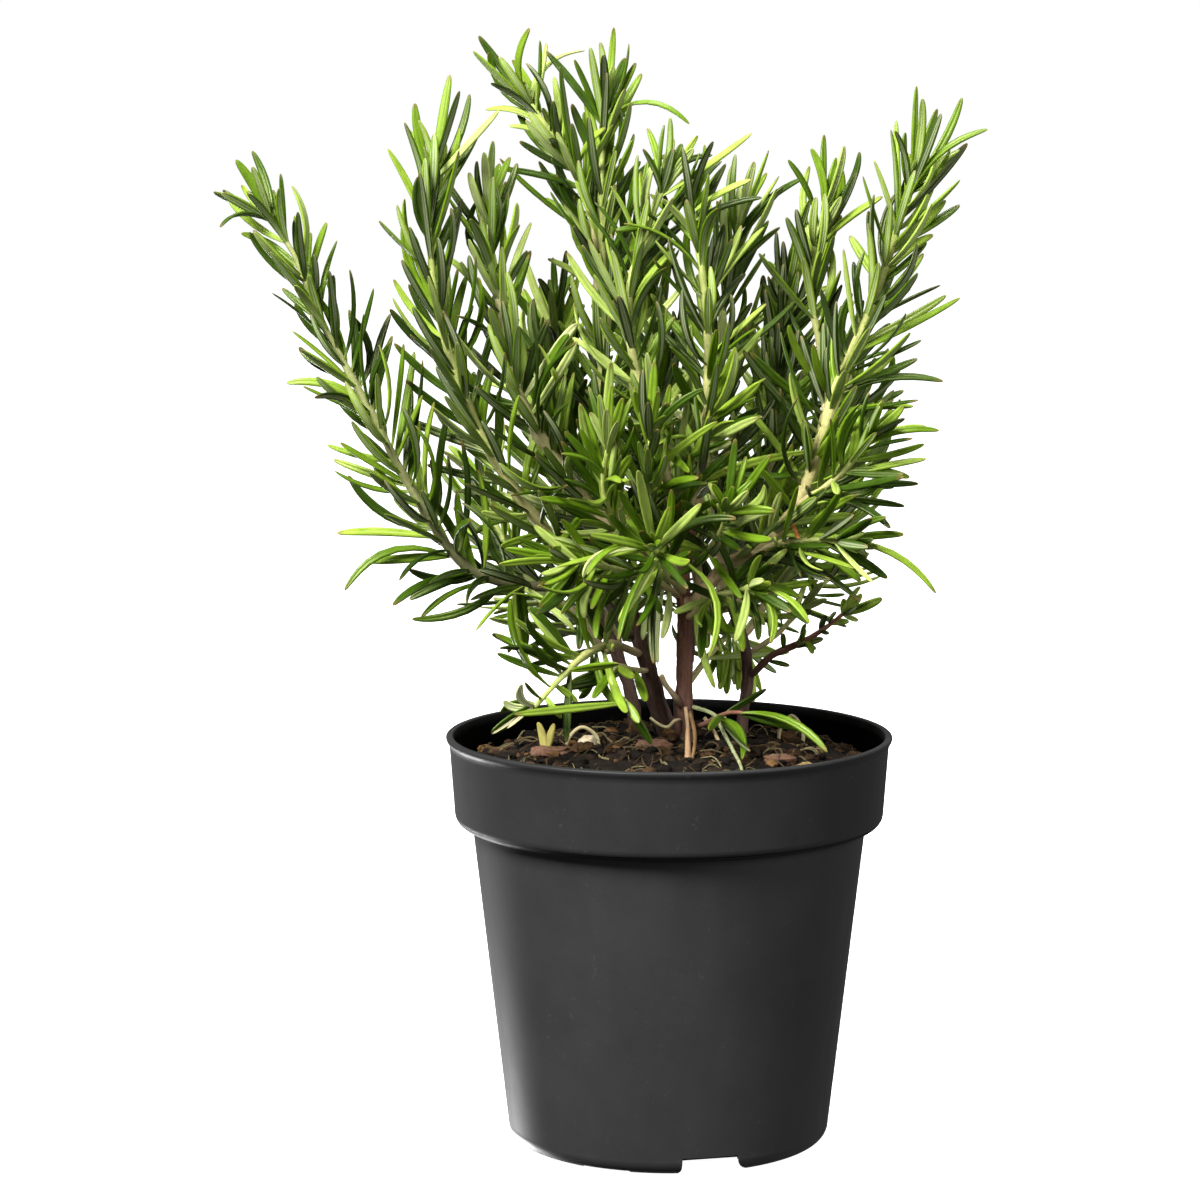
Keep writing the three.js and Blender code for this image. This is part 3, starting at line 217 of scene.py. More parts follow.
# ---- Leaves: where each one grows ----
class Leaf:
    """A quadratic centre line through base, mid and tip, and the leaf's side direction."""

    def __init__(self, base, mid, tip, side, share=0.5):
        self.base, self.mid, self.tip, self.side = base, mid, tip, side
        self.share = share  # where on its stem
        self.tone = None  # drawn by lot if not set
        self.length = size(mid - base) + size(tip - mid)

    def handle(self):
        """The point that its centre line bends towards."""
        return self.mid * 2 - (self.base + self.tip) * 0.5

    def point(self, t):
        handle = self.handle()
        return self.base * (1 - t) ** 2 + handle * (2 * t * (1 - t)) + self.tip * t**2


def leaf_to_tip(stem, share, tip, bow):
    """A leaf drawn to a given tip. bow moves its middle in the picture plane."""
    point, tangent, _, _ = stem.at(share)
    along = unit(tip - point)
    out = square_to(along, tangent)
    middle = (point + tip) * 0.5
    side = square_to(cross(out, tangent), along)
    if bow:
        shift = vec(bow[0], 0, bow[1])
        bent = unit(cross(along, shift))
        side = -bent if bent @ side < 0 else bent
        middle = middle + shift
    return Leaf(point, middle, tip, side, share)


def leaf_by_angles(stem, share, turn, spread, length, curl):
    """A leaf drawn from its turn round the stem and its spread away from it."""
    point, tangent, normal, _ = stem.at(share)
    out = normal * math.cos(turn) + cross(tangent, normal) * math.sin(turn)

    def heading(angle):
        return tangent * math.cos(angle) + out * math.sin(angle)

    mid = point + heading(spread) * (length / 2)
    tip = mid + heading(spread + curl) * (length / 2)
    return Leaf(point, mid, tip, cross(out, tangent), share)


REACH = 45  # no two pieces whose middles are further apart can touch
MOST_PIECES = 12000


class Room:
    """What is already placed, as short straight pieces with a radius."""

    def __init__(self):
        self.count = 0
        self.start = np.zeros((MOST_PIECES, 3))
        self.end = np.zeros((MOST_PIECES, 3))
        self.radius = np.zeros(MOST_PIECES)
        self.owner = np.zeros(MOST_PIECES, dtype=int)
        self.is_leaf = np.zeros(MOST_PIECES, dtype=bool)
        self.is_inner = np.zeros(MOST_PIECES, dtype=bool)
        self.owners = {}

    def number(self, owner):
        return self.owners.setdefault(owner, len(self.owners))

    def hold(self, owner, start, end, radius, leaf=False, inner=False):
        i = self.count
        self.start[i], self.end[i], self.radius[i] = start, end, radius
        self.owner[i], self.is_leaf[i], self.is_inner[i] = self.number(owner), leaf, inner
        self.count += 1

    def hold_stem(self, owner, stem):
        for i in range(len(stem.samples) - 1):
            radius = mix(stem.radius[0], stem.radius[1], stem.reach[i] / stem.length)
            self.hold(owner, stem.samples[i], stem.samples[i + 1], radius)

    def hold_leaf(self, owner, leaf):
        self.hold(owner, leaf.base, leaf.mid, HALF_WIDTH, leaf=True, inner=True)
        self.hold(owner, leaf.mid, leaf.tip, HALF_WIDTH, leaf=True)

    def gaps(self, p, q, near):
        """Distances from the piece p-q to the pieces numbered in near."""
        d1, d2 = q - p, self.end[near] - self.start[near]
        r = p - self.start[near]
        a, e, b = d1 @ d1, np.einsum("ij,ij->i", d2, d2), d2 @ d1
        c, f = r @ d1, np.einsum("ij,ij->i", d2, r)
        wide = a * e - b * b
        crossing = wide > PARALLEL
        safe = np.where(crossing, wide, 1)
        s = np.where(crossing, np.clip((b * f - c * e) / safe, 0, 1), 0)
        t = (b * s + f) / e
        s = np.where(t < 0, np.clip(-c / a, 0, 1), np.where(t > 1, np.clip((b - c) / a, 0, 1), s))
        t = np.clip(t, 0, 1)
        away = (p + s[:, None] * d1) - (self.start[near] + t[:, None] * d2)
        return np.sqrt(np.einsum("ij,ij->i", away, away))

    def clashes(self, owner, leaf, others, own_leaves, own_stem):
        """Whether the leaf comes closer than others to another shoot's pieces, or its outer
        half closer than own_leaves or own_stem to those of its own shoot."""
        n = self.count
        far = self.start[:n] - leaf.mid
        near = np.nonzero(np.einsum("ij,ij->i", far, far) <= REACH**2)[0]
        outer = self.gaps(leaf.mid, leaf.tip, near)
        inner = self.gaps(leaf.base, leaf.mid, near)
        own = self.owner[near] == self.number(owner)
        own_keep = np.where(self.is_leaf[near], own_leaves, own_stem)
        keep = others - HALF_WIDTH + self.radius[near]
        own_clash = own & ~self.is_inner[near] & (outer < own_keep)
        return bool(np.any(own_clash | (~own & ((outer < keep) | (inner < keep)))))


TABLE_ROOM = 2  # least heights of a leaf over the table, the rim and the compost
RIM_ROOM = 1.6
COMPOST_ROOM = 1.8


def clear_of_pot(leaf):
    for t in (0.25, 0.5, 0.75, 1):
        x, y, z = leaf.point(t)
        r = math.hypot(x, y)
        if r > LIP_RADIUS + 2:
            low = TABLE_ROOM
        elif r > COMPOST_RADIUS - 1:
            low = POT_HEIGHT + RIM_ROOM
        else:
            low = compost_height(x, y) + COMPOST_ROOM
        if z <= low:
            return False
    return True


room = Room()
stems = {}


# ---- How the plant grows ----
# Least distances between leaf middles of different shoots, those of one shoot, and its stem.
MODEL_ROOM = (2.6, 1.9, 1.6)
MORE_ROOM = (1.7, 1.25, 1.3)  # for leaves that only the looks have
THICKET_ROOM = (1.5, 1.2, 1.3)  # for those of the crowded shoots behind
DRAWN_ROOM = (1.3, 1.0, 1.0)  # for those drawn one by one
CROWDED = ("shoot_back", "shoot_inner", "shoot_side")  # how their names start
SPARSE = ("shoot_drooping", "shoot_low_left", "shoot_at_base", "shoot_back_drooping")

DEPTH_TRIES = (0, 3, -3, 6, -6, 9, -9)  # front or back shifts of a placed leaf's tip
NODE_STAGGER = 0.005
TRIES = 7
LAST_PAIR = 0.985  # share of the shoot's length
PAIR_LOOSE = (0.2, 0.12)  # how far angles vary, in radians, and what each new try adds
PAIR_LENGTH_JITTER = 0.16
PAIR_CURL_JITTER = 16  # degrees

MORE_SEED = 500
MORE_LAST = 0.99
MORE_SPACING = 4
THICKET_SPACING = 2.2
MORE_LOOSE = (0.4, 0.35)
MORE_SPREAD = (0.75, 1.45)  # of the pairs' spread
MORE_LENGTH = (0.9, 1.4)  # of the pairs' length
MORE_CURL = (-36, 26)  # degrees
BUD_LEAVES = 6
BUD_TURN = (2.4, 0.3)  # from leaf to leaf, and its jitter
BUD_SPREAD = (8, 30)  # degrees
BUD_LENGTH = (7, 12)
BUD_CURL_JITTER = 0.15


def rows(text):
    """Rows of numbers: spaces stand between the numbers and commas between the rows."""
    return [tuple(map(float, row.split())) for row in text.split(",") if row.strip()]


class Branch:
    """A trunk, or a thin piece on the compost: its name, what it grows from and at which
    share of that one's length (1 is its end), its end radii and the points of its middle."""

    def __init__(self, name, parent, radius, points):
        self.name, self.parent, self.radius, self.points = name, parent, radius, rows(points)

    def grow(self, foot=None, roll=0.0):
        if self.parent:
            parent, share = self.parent
            foot = seat_on(stems[parent], share, self.points[0], self.radius[0])
        points = self.points if foot is None else [foot, *self.points]
        self.stem = stems[self.name] = Stem(points, self.radius, roll)
        room.hold_stem(self.name, self.stem)


class Shoot(Branch):
    """A leafy branch. leaves: the share of its length where the pairs start, their spacing,
    their length and their spread (degrees) at the first and at the last pair, and a seed.
    tips: leaves placed one by one as share, x, y, z, then the bow of a curved one."""

    def __init__(self, name, parent, radius, leaves, points, tips=""):
        super().__init__(name, parent, radius, points)
        self.first, self.spacing, *ranges, self.seed = leaves
        self.lengths, self.spreads = ranges[:2], ranges[2:]
        self.tips, self.grown, self.dice = rows(tips), [], Dice(self.seed)

    def settle(self, leaf, limits):
        """Adds the leaf if there is room for it."""
        if room.clashes(self.name, leaf, *limits) or not clear_of_pot(leaf):
            return False
        room.hold_leaf(self.name, leaf)
        self.grown.append(leaf)
        return True

    def draw_leaf(self, share, x, y, z, bow, limits=MODEL_ROOM, tone=None, face=0):
        """Adds a leaf with its tip at the first of a few depths where there is room."""
        for shift in DEPTH_TRIES:
            leaf = leaf_to_tip(self.stem, share, vec(x, y + shift, z), bow)
            leaf.tone = tone
            if face:
                leaf.side = unit(cross(leaf.tip - leaf.base, vec(0, -face, 0)))
            if self.settle(leaf, limits):
                return

    def place_tips(self):
        for i, (share, x, y, z, *bow) in enumerate(self.tips):
            self.draw_leaf(share - NODE_STAGGER * (i % 4), x, y, z, bow)

    def place_more_tips(self):
        for share, x, y, z, tone, *rest in rows(MORE_TIPS.get(self.name, "")):
            face, *bow = rest or [1]
            self.draw_leaf(share, x, y, z, bow, DRAWN_ROOM, tone, face)

    def grow_pairs(self):
        """Pairs of leaves, each pair a quarter turn on from the one below it."""
        pairs = math.floor(self.stem.length * (1 - self.first) / self.spacing)
        jitter = self.dice.jitter
        for k in range(pairs + 1):
            t = k / max(pairs, 1)
            share = self.first + (LAST_PAIR - self.first) * t
            for half in (0, math.pi):
                for trial in range(TRIES):
                    loose = PAIR_LOOSE[0] + PAIR_LOOSE[1] * trial
                    turn = QUARTER_TURN / 2 + half + k * QUARTER_TURN + jitter(loose)
                    spread = math.radians(mix(*self.spreads, t) * (1 + jitter(loose)))
                    length = mix(*self.lengths, t) * (1 + jitter(PAIR_LENGTH_JITTER))
                    curl = math.radians(jitter(PAIR_CURL_JITTER))
                    leaf = leaf_by_angles(self.stem, share, turn, spread, length, curl)
                    if self.settle(leaf, MODEL_ROOM):
                        break

    def grow_more_leaves(self):
        """Leaves between the pairs, wherever there is room, and the bud at the shoot's end."""
        if self.name in SPARSE:
            return
        stem, dice = self.stem, Dice(self.seed + MORE_SEED)
        crowded = self.name.startswith(CROWDED)
        limits = THICKET_ROOM if crowded else MORE_ROOM
        spacing = THICKET_SPACING if crowded else MORE_SPACING
        count = int(stem.length * (1 - self.first) / spacing)
        for k in range(count):
            t = (k + dice.roll()) / count
            share = self.first + (MORE_LAST - self.first) * t
            for half in (0, math.pi):
                for trial in range(TRIES):
                    loose = MORE_LOOSE[0] + MORE_LOOSE[1] * trial
                    turn = half + k * QUARTER_TURN + dice.jitter(loose)
                    spread = math.radians(mix(*self.spreads, t) * dice.between(*MORE_SPREAD))
                    length = mix(*self.lengths, t) * dice.between(*MORE_LENGTH)
                    curl = math.radians(dice.between(*MORE_CURL))
                    leaf = leaf_by_angles(stem, share, turn, spread, length, curl)
                    if self.settle(leaf, limits):
                        break
        for k in range(BUD_LEAVES):
            turn = k * BUD_TURN[0] + dice.jitter(BUD_TURN[1])
            spread = math.radians(dice.between(*BUD_SPREAD))
            length, curl = dice.between(*BUD_LENGTH), dice.jitter(BUD_CURL_JITTER)
            leaf = leaf_by_angles(stem, LAST_PAIR, turn, spread, length, curl)
            self.settle(leaf, MORE_ROOM)


def grow_plant():
    for trunk in TRUNKS:
        x, y, z = trunk.points[0]
        trunk.grow(foot=(x, y, z - ROOT_DEPTH))
    for fibre in FIBRES:
        fibre.grow()
    for shoot in SHOOTS:
        shoot.grow(roll=shoot.dice.roll() * math.pi)
    steps = Shoot.place_tips, Shoot.grow_pairs, Shoot.place_more_tips, Shoot.grow_more_leaves
    for step in steps:
        for shoot in SHOOTS:
            step(shoot)


# ---- The plant, as in the model ----
TRUNKS = [
    Branch("trunk_left", None, (2.9, 1.9), """
    0 4 108, -3 4 117, -6 3 128, -8 2 137, -11 2 145"""),
    Branch("trunk_centre", None, (2.6, 1.5), """
    5 -3 108, 4 -3 120, 4 -3 133, 4 -4 147, 4 -5 157, 6 -6 167"""),
    Branch("trunk_right", None, (1.7, 1.3), """
    19 4 107, 20 4 116, 21 4 125, 21 5 131, 18 8 140, 15 10 147"""),
    Branch("trunk_back", None, (2.2, 1.5), """
    3 21 107, 4 23 121, 6 27 134, 8 31 145"""),
    Branch("trunk_back_left", None, (2.1, 1.4), """
    -9 17 107, -11 21 120, -15 26 129, -19 31 138"""),
]

SHOOTS = [
    Shoot("shoot_far_left", ("trunk_left", 0.86), (1.3, 0.6), (0.2, 14, 22, 15, 50, 24, 11), """
    -17 -1 146, -25 -3 149, -39 -8 151, -46 -10 153, -53 -12 156, -59 -14 163, -70 -17 182,
    -79 -18 200, -90 -17 220, -99 -15 241, -105 -14 249""", """
    1 -118 -20 255, 1 -117 -8 255, 1 -113 -12 263, 1 -116 -24 246 -1 1.7, 0.87 -107 -26 245,
    0.94 -101 -20 256, 0.95 -104 -6 255, 0.88 -96 -24 250, 0.85 -94 -8 244, 0.83 -92 -22 239,
    0.82 -87 -10 242 -2.1 0.8, 0.76 -88 -25 235, 0.74 -88 -10 233, 0.73 -83 -20 235,
    0.75 -103 -22 229, 0.68 -98 -20 219, 0.61 -95 -24 205, 0.63 -91 -30 208, 0.68 -84 -10 224,
    0.64 -79 -26 224, 0.62 -73 -12 223, 0.56 -69 -22 216, 0.55 -67 -10 213, 0.53 -64 -24 212,
    0.48 -87 -24 183, 0.49 -83 -12 193, 0.38 -74 -26 172, 0.4 -87 -18 166 -0.6 2.8,
    0.33 -85 -20 151 -2.1 4.8, 0.3 -72 -26 148 -0.9 1.4, 0.26 -65 -20 144 -1 1.2, 0.22 -52 -22 149,
    0.18 -50 -2 148 0.3 -1.2, 0.41 -58 -12 198, 0.43 -61 -24 201, 0.36 -54 -24 191,
    0.29 -50 -20 183"""),
    Shoot("shoot_left", ("trunk_left", 1), (1.6, 0.6), (0.2, 11, 24, 17, 48, 22, 23), """
    -17 -2 152, -24 -6 157, -32 -10 165, -44 -14 182, -52 -18 198, -58 -21 216, -62 -22 240,
    -61 -20 260""", """
    1 -57 -16 285, 1 -54 -26 281, 0.99 -52 -14 280, 1 -44 -24 276 -1.3 1.3, 0.89 -68 -28 273,
    0.87 -73 -18 266, 0.61 -66 -30 226, 0.61 -68 -16 231, 0.7 -69 -12 246, 0.81 -70 -28 252,
    0.65 -50 -28 239, 0.75 -54 -14 253, 0.85 -54 -30 266, 0.53 -44 -10 226"""),
    Shoot("shoot_left_centre", ("trunk_centre", 0.82),
          (1.8, 0.7), (0.12, 10, 25, 17, 48, 20, 37), """
    -1 -3 156, -9 -3 160, -17 -7 168, -25 -10 177, -33 -13 190, -40 -14 202, -43 -14 219,
    -47 -12 240, -47 -11 249""", """
    1 -46 -14 268, 0.99 -49 -4 262, 0.98 -52 -18 260, 0.97 -40 -6 262, 0.94 -59 -4 258,
    0.8 -52 -22 243, 0.81 -37 -20 240, 0.58 -56 -24 220, 0.48 -50 -8 221, 0.43 -34 -24 216 2.7 0.1,
    0.49 -24 -20 221 -2.7 1.5, 0.48 -24 -28 217 -2.1 1.2, 0.33 -32 -20 209, 0.27 -21 -16 202,
    0.1 -1 -24 176 -1 1, 0.21 -35 -24 187"""),
    Shoot("shoot_top", ("shoot_left_centre", 0.11), (1.6, 0.7), (0.1, 10, 24, 18, 45, 20, 41), """
    -13 3 168, -17 6 179, -19 7 192, -18 8 206, -17 8 219, -18 6 241, -18 6 262, -17 6 276""", """
    0.95 -21 0 292, 0.97 -18 12 286, 1 -15 8 287, 0.99 -11 4 293, 0.98 5 2 272 0.4 4.9,
    0.98 -11 12 274, 0.79 -10 0 268, 0.97 -33 12 291, 0.87 -15 16 266, 0.77 -8 14 262,
    0.61 -28 0 251, 0.57 -9 -4 253, 0.68 -25 14 257"""),
    Shoot("shoot_top_side", ("shoot_top", 0.58), (1.1, 0.6), (0.1, 10, 18, 15, 42, 25, 53), """
    -20 8.5 243, -22 9 252, -28 9 264, -35 10 274, -37 10 277""", """
    0.94 -52 6 291, 1 -51 16 295, 1 -37 4 297 -3 0, 0.98 -33 14 293 -1.3 0.2, 1 -23 20 291 -4 4,
    0.57 -29 2 287, 0.63 -38 0 273, 0.72 -34 16 276, 0.7 -31 4 278, 0.51 -23 14 275, 0.5 -15 4 272,
    0.6 -17 0 271 -1 0.9, 0.27 -35 14 262, 0.29 -45 3 263, 0.54 -35 18 259"""),
    Shoot("shoot_centre_left", ("trunk_centre", 0.94),
          (1.4, 0.6), (0.1, 10, 24, 17, 46, 22, 61), """
    3 -10 167, 1 -10 171, -1 -12 182, -4 -14 192, -9 -14 209, -11 -12 227, -9 -10 236, -4 -8 250,
    -2 -8 255""", """
    1 0 -12 274, 1 -6 -2 271, 1 -7 -16 266, 1 3 -4 267, 1 6 -16 266, 1 11 -4 264 -1.2 1.6,
    0.99 21 -14 270 -0.8 1.1, 0.91 -14 -16 245, 0.49 -18 -26 223, 0.59 -15 -20 240, 0.31 2 -26 203,
    0.33 2 -32 197 -0.4 1.3, 0.37 -6 -26 214, 0.41 -1 -20 225"""),
    Shoot("shoot_centre", ("trunk_centre", 1), (1.4, 0.7), (0.08, 10, 24, 18, 50, 26, 71), """
    8 -8 177, 9 -10 187, 10 -11 198, 10 -12 216, 8 -10 236, 5 -8 250""", """
    0.99 14 -2 261, 0.99 21 -14 258 -0.7 1.3, 0.97 24 -4 253 -0.4 1.5, 0.91 13 -16 253,
    1 11 -12 268, 0.91 -2 -14 253, 0.7 16 -20 243, 0.55 25 -16 226, 0.48 22 -22 220,
    0.34 25 -20 207, 0.26 24 -22 197 -0.6 1.7, 0.27 -3 -24 190 -0.4 1.2"""),
    Shoot("shoot_right_centre", ("trunk_right", 1), (1.3, 0.6), (0.15, 10, 22, 18, 45, 24, 83), """
    13 10 160, 12 9 175, 12 8 188, 13 9 200, 14 11 223, 17 12 240, 18 12 246""", """
    0.94 26 10 265, 0.97 22 20 261, 0.87 28 6 255, 0.83 29 16 258 -2.7 1.5, 0.73 25 4 238,
    0.78 14 6 251, 0.55 24 2 230"""),
    Shoot("shoot_right_inner", ("trunk_right", 0.92),
          (1.1, 0.6), (0.2, 11, 21, 17, 42, 24, 97), """
    23 9 155, 26 8 166, 27 7 180, 28 9 200, 30 11 221, 31 12 228""", """
    0.99 37 10 252, 0.94 26 4 232, 0.92 26 16 229, 0.76 25 0 229, 0.8 30 10 241, 0.62 34 2 218"""),
    Shoot("shoot_right", ("trunk_centre", 0.72), (1.8, 0.8), (0.12, 11.5, 25, 17, 50, 24, 101), """
    11 -6 153, 18 -8 158, 25 -10 163, 32 -11 170, 38 -12 184, 43 -12 201, 50 -12 219, 56 -10 235,
    61 -8 251, 63 -8 256""", """
    1 64 -6 282, 1 65 -16 279, 1 70 2 276, 1 70 -14 275, 1 76 -4 279, 0.97 82 -14 271 -1.8 1.9,
    0.94 78 2 267, 0.89 75 -14 258, 0.87 76 0 251, 0.89 57 -14 271, 0.94 59 -2 273,
    0.65 76 -6 227 -0.6 1.3, 0.7 70 -18 231, 0.66 73 4 227, 0.6 65 -22 217, 0.55 65 -6 211,
    0.54 71 -18 206 -0.3 3.1, 0.51 63 -24 200 0 2.4, 0.51 53 -4 196, 0.47 19 -22 214,
    0.38 14 -20 183, 0.37 35 -22 195, 0.58 43 -22 227, 0.74 51 -20 247, 0.79 47 -4 243,
    0.82 57 -18 252"""),
    Shoot("shoot_right_second", ("shoot_right", 0.42),
          (1.1, 0.6), (0.1, 9, 20, 16, 44, 24, 113), """
    41 -3 197, 41 2 205, 39 6 218, 37 8 228, 39 9 244, 41 9 250""", """
    0.93 44 12 263, 0.87 45 2 253, 0.88 48 8 255, 0.84 56 4 253 -1.2 1.5, 0.73 35 14 248,
    0.61 43 -2 243, 0.35 31 10 225, 0.3 51 0 226"""),
    Shoot("shoot_right_side", ("shoot_right", 0.31), (1.0, 0.6), (0.2, 9, 20, 14, 50, 30, 127), """
    37 -18 176, 40 -20 178, 44 -23 182, 48 -26 187, 51 -28 192""", """
    0.97 58 -24 199, 0.96 60 -36 198, 0.94 66 -28 195, 0.86 62 -38 193, 0.74 66 -22 190,
    0.52 66 -30 187 -0.4 2.1, 0.27 60 -36 183, 0.3 65 -16 179, 0.15 61 -24 174,
    0.07 57 -30 169 0.9 2, 0.77 51 -34 196, 0.48 41 -36 198"""),
    Shoot("shoot_right_low", ("shoot_right", 0.17), (0.9, 0.6), (0.25, 9, 20, 16, 55, 35, 131), """
    28 -15 163, 33 -18 164, 39 -22 165, 44 -26 165""", """
    0.97 69 -30 152 1.9 3.6, 0.94 48 -16 157, 0.24 48 -34 159, 0.1 42 -28 164 0 1.1,
    0.4 34 -34 157, 0.97 52 -34 172"""),
    Shoot("shoot_drooping", ("trunk_left", 0.75), (1.1, 0.6), (0.3, 11, 20, 14, 55, 35, 139), """
    -14 -6 135, -18 -11 135, -23 -17 133, -30 -25 127, -35 -30 122""", """
    0.53 -45 -30 141, 0.72 -44 -34 138 0.8 1.5, 0.84 -41 -36 151 -1.9 -0.7, 0.46 -24 -22 156,
    0.55 -37 -16 146, 0.51 -40 -32 145, 0.4 -41 -24 151 1.9 2.3, 0.28 -22 -14 147, 0.8 -24 -22 122,
    0.67 -13 -34 134, 0.94 -37 -40 130, 0.98 -46 -34 116 -0.7 1.1, 0.98 -44 -22 119 -0.3 1.4"""),
    Shoot("shoot_low_left", ("trunk_left", 0.65), (0.8, 0.5), (0.5, 11, 14, 12, 50, 40, 149), """
    -9 -6 128, -12 -10 130, -16 -16 129, -14 -20 125, -11 -23 122""", """
    1 -40 -30 121, 0.52 -20 -22 123, 0.47 -24 -10 123, 0.27 -6 -20 122"""),
    Shoot("spur_right", ("trunk_right", 0.59), (1.0, 0.5), (0.5, 12, 5, 4, 50, 40, 151), """
    28 -2 132, 34 -5 135, 38 -7 137, 42 -9 141, 46 -10 144""", """
    0.59 38 -9 133, 0.38 30 -6 138, 0.19 32 -4 129, 0.44 41 -2 136"""),
    Shoot("spur_right_upper", ("trunk_right", 0.69), (0.8, 0.5), (0.5, 9, 9, 7, 50, 40, 157), """
    28 7 135, 31 8 139, 35 9 142, 39 10 147, 45 11 152""", """
    0.33 28 6 146, 0.51 37 12 150, 0.21 26 10 142, 0.53 42 4 146, 0.73 38 6 155"""),
    Shoot("shoot_front", ("trunk_centre", 0.76), (1.1, 0.7), (0.35, 12, 22, 18, 60, 40, 163), """
    1 -14 153, -1 -20 156, -2 -27 160, -4 -34 164""", """
    0.99 -21 -48 159 -1.2 2.8, 0.91 -13 -46 142 -3.2 1.4, 0.73 -4 -40 135 -1.6 0.1,
    0.95 10 -50 138 6 3, 1 -29 -40 160 -0.3 1.5, 1 8 -46 177, 0.92 17 -44 173 -0.7 1.6,
    1 -13 -42 180, 1 -8 -50 186, 0.95 -20 -46 169, 0.62 -10 -36 151, 0.95 5 -52 163"""),
    Shoot("shoot_front_left", ("shoot_left_centre", 0.1),
          (1.0, 0.6), (0.25, 9, 22, 18, 48, 26, 167), """
    -13 -11 165, -15 -16 169, -17 -21 176, -17 -25 183, -16 -28 189""", """
    1 -15 -30 206, 0.93 -21 -24 205, 0.67 -23 -32 201, 0.57 -14 -34 192, 0.52 -28 -26 191,
    0.42 -27 -34 182, 0.78 -10 -24 202, 0.26 -23 -30 171"""),
    Shoot("shoot_front_centre", ("trunk_centre", 0.85),
          (1.0, 0.6), (0.25, 9, 22, 18, 46, 26, 173), """
    0 -13 165, -4 -18 171, -5 -23 178, -6 -27 185, -5 -30 192""", """
    1 -4 -30 212, 0.92 -9 -36 206, 0.85 0 -26 206, 0.6 -8 -36 192, 0.5 -1 -38 193, 0.4 -13 -28 192,
    0.25 5 -30 188, 0.2 -10 -34 182"""),
    Shoot("shoot_front_right", ("trunk_centre", 0.84),
          (1.0, 0.6), (0.25, 10, 20, 12, 52, 35, 179), """
    9 -12 159, 12 -18 164, 14 -24 169, 15 -30 174""", """
    1 11 -36 181, 1 20 -38 180, 0.93 27 -36 174, 0.87 26 -30 188, 0.68 26 -38 167, 0.59 3 -30 176,
    0.35 -2 -28 166, 0.97 17 -28 192"""),
    Shoot("shoot_low_front_left", ("trunk_centre", 0.745),
          (1.0, 0.6), (0.25, 10, 22, 16, 55, 35, 181), """
    -5 -9 153, -10 -14 155, -16 -19 157, -21 -24 159, -26 -28 160""", """
    1 -44 -36 160, 0.98 -39 -30 166, 0.92 -32 -36 155, 0.74 -32 -20 163, 0.62 -22 -28 145 -1.7 0.5,
    0.48 -19 -30 140 -2.3 0.5, 0.32 -24 -28 164, 0.8 -28 -32 171"""),
    Shoot("shoot_low_front_right", ("trunk_centre", 0.665),
          (1.0, 0.6), (0.3, 10, 20, 16, 60, 40, 191), """
    9 -9 147, 12 -14 149, 17 -20 151, 21 -26 153""", """
    1 36 -36 145 1.6 2.4, 0.98 26 -38 140 2.6 1.1, 0.96 34 -26 150 0.3 1.1,
    0.68 23 -32 145 0.9 0.8, 0.71 20 -26 137 1.3 0.2, 0.33 16 -22 135 1.5 0.4, 0.81 27 -32 160,
    0.33 13 -30 137 1.1 0.1, 0.17 8 -24 134"""),
    Shoot("shoot_at_base", ("trunk_centre", 0.25), (0.8, 0.5), (0.6, 9, 14, 12, 55, 40, 193), """
    11 -10 115, 15 -15 118, 19 -20 119""", """
    1 41 -34 111 0.8 1.8, 0.94 34 -22 115, 0.53 21 -38 112 1.2 0.8"""),
    Shoot("shoot_back_centre", ("trunk_back", 1), (1.4, 0.6), (0.05, 9.5, 24, 17, 50, 24, 197), """
    6 34 158, 2 37 176, -2 38 195, -5 37 214, -7 35 232"""),
    Shoot("shoot_back_right", ("trunk_back", 0.86),
          (1.3, 0.6), (0.05, 9.5, 24, 17, 50, 24, 199), """
    16 34 148, 22 37 165, 27 39 184, 30 40 202, 32 40 219"""),
    Shoot("shoot_back_right_low", ("trunk_back", 0.74),
          (1.2, 0.6), (0.15, 9.5, 24, 16, 55, 28, 211), """
    15 36 140, 26 46 150, 36 55 163, 42 60 178"""),
    Shoot("shoot_back", ("trunk_back", 0.66), (1.2, 0.6), (0.15, 9.5, 24, 16, 52, 26, 223), """
    4 40 138, 3 52 150, 0 62 166, -4 67 186, -6 68 202"""),
    Shoot("shoot_back_left", ("trunk_back_left", 1),
          (1.3, 0.6), (0.05, 9.5, 24, 17, 50, 24, 227), """
    -24 37 152, -29 41 170, -32 42 190, -33 41 210"""),
    Shoot("shoot_back_far_left", ("trunk_back_left", 0.8),
          (1.1, 0.6), (0.15, 9.5, 23, 15, 55, 28, 229), """
    -26 34 138, -38 42 146, -47 48 158, -52 51 172"""),
    Shoot("shoot_back_low", ("trunk_back_left", 0.66),
          (1.1, 0.6), (0.2, 9, 22, 15, 55, 30, 233), """
    -15 38 132, -19 52 139, -24 64 147, -27 73 158"""),
    Shoot("shoot_side_right", ("trunk_right", 0.79),
          (1.1, 0.6), (0.15, 9.5, 22, 16, 52, 26, 239), """
    27 14 145, 36 21 155, 44 27 168, 49 30 184, 51 31 198"""),
    Shoot("shoot_inner_left", ("trunk_back_left", 0.9),
          (1.2, 0.6), (0.1, 9, 23, 17, 48, 24, 241), """
    -17 23 148, -20 21 166, -26 19 186, -30 18 206, -31 17 222"""),
    Shoot("shoot_back_drooping", ("trunk_back", 0.5),
          (1.0, 0.5), (0.3, 9, 20, 14, 55, 35, 251), """
    10 38 124, 16 50 129, 20 61 128, 22 71 122"""),
]

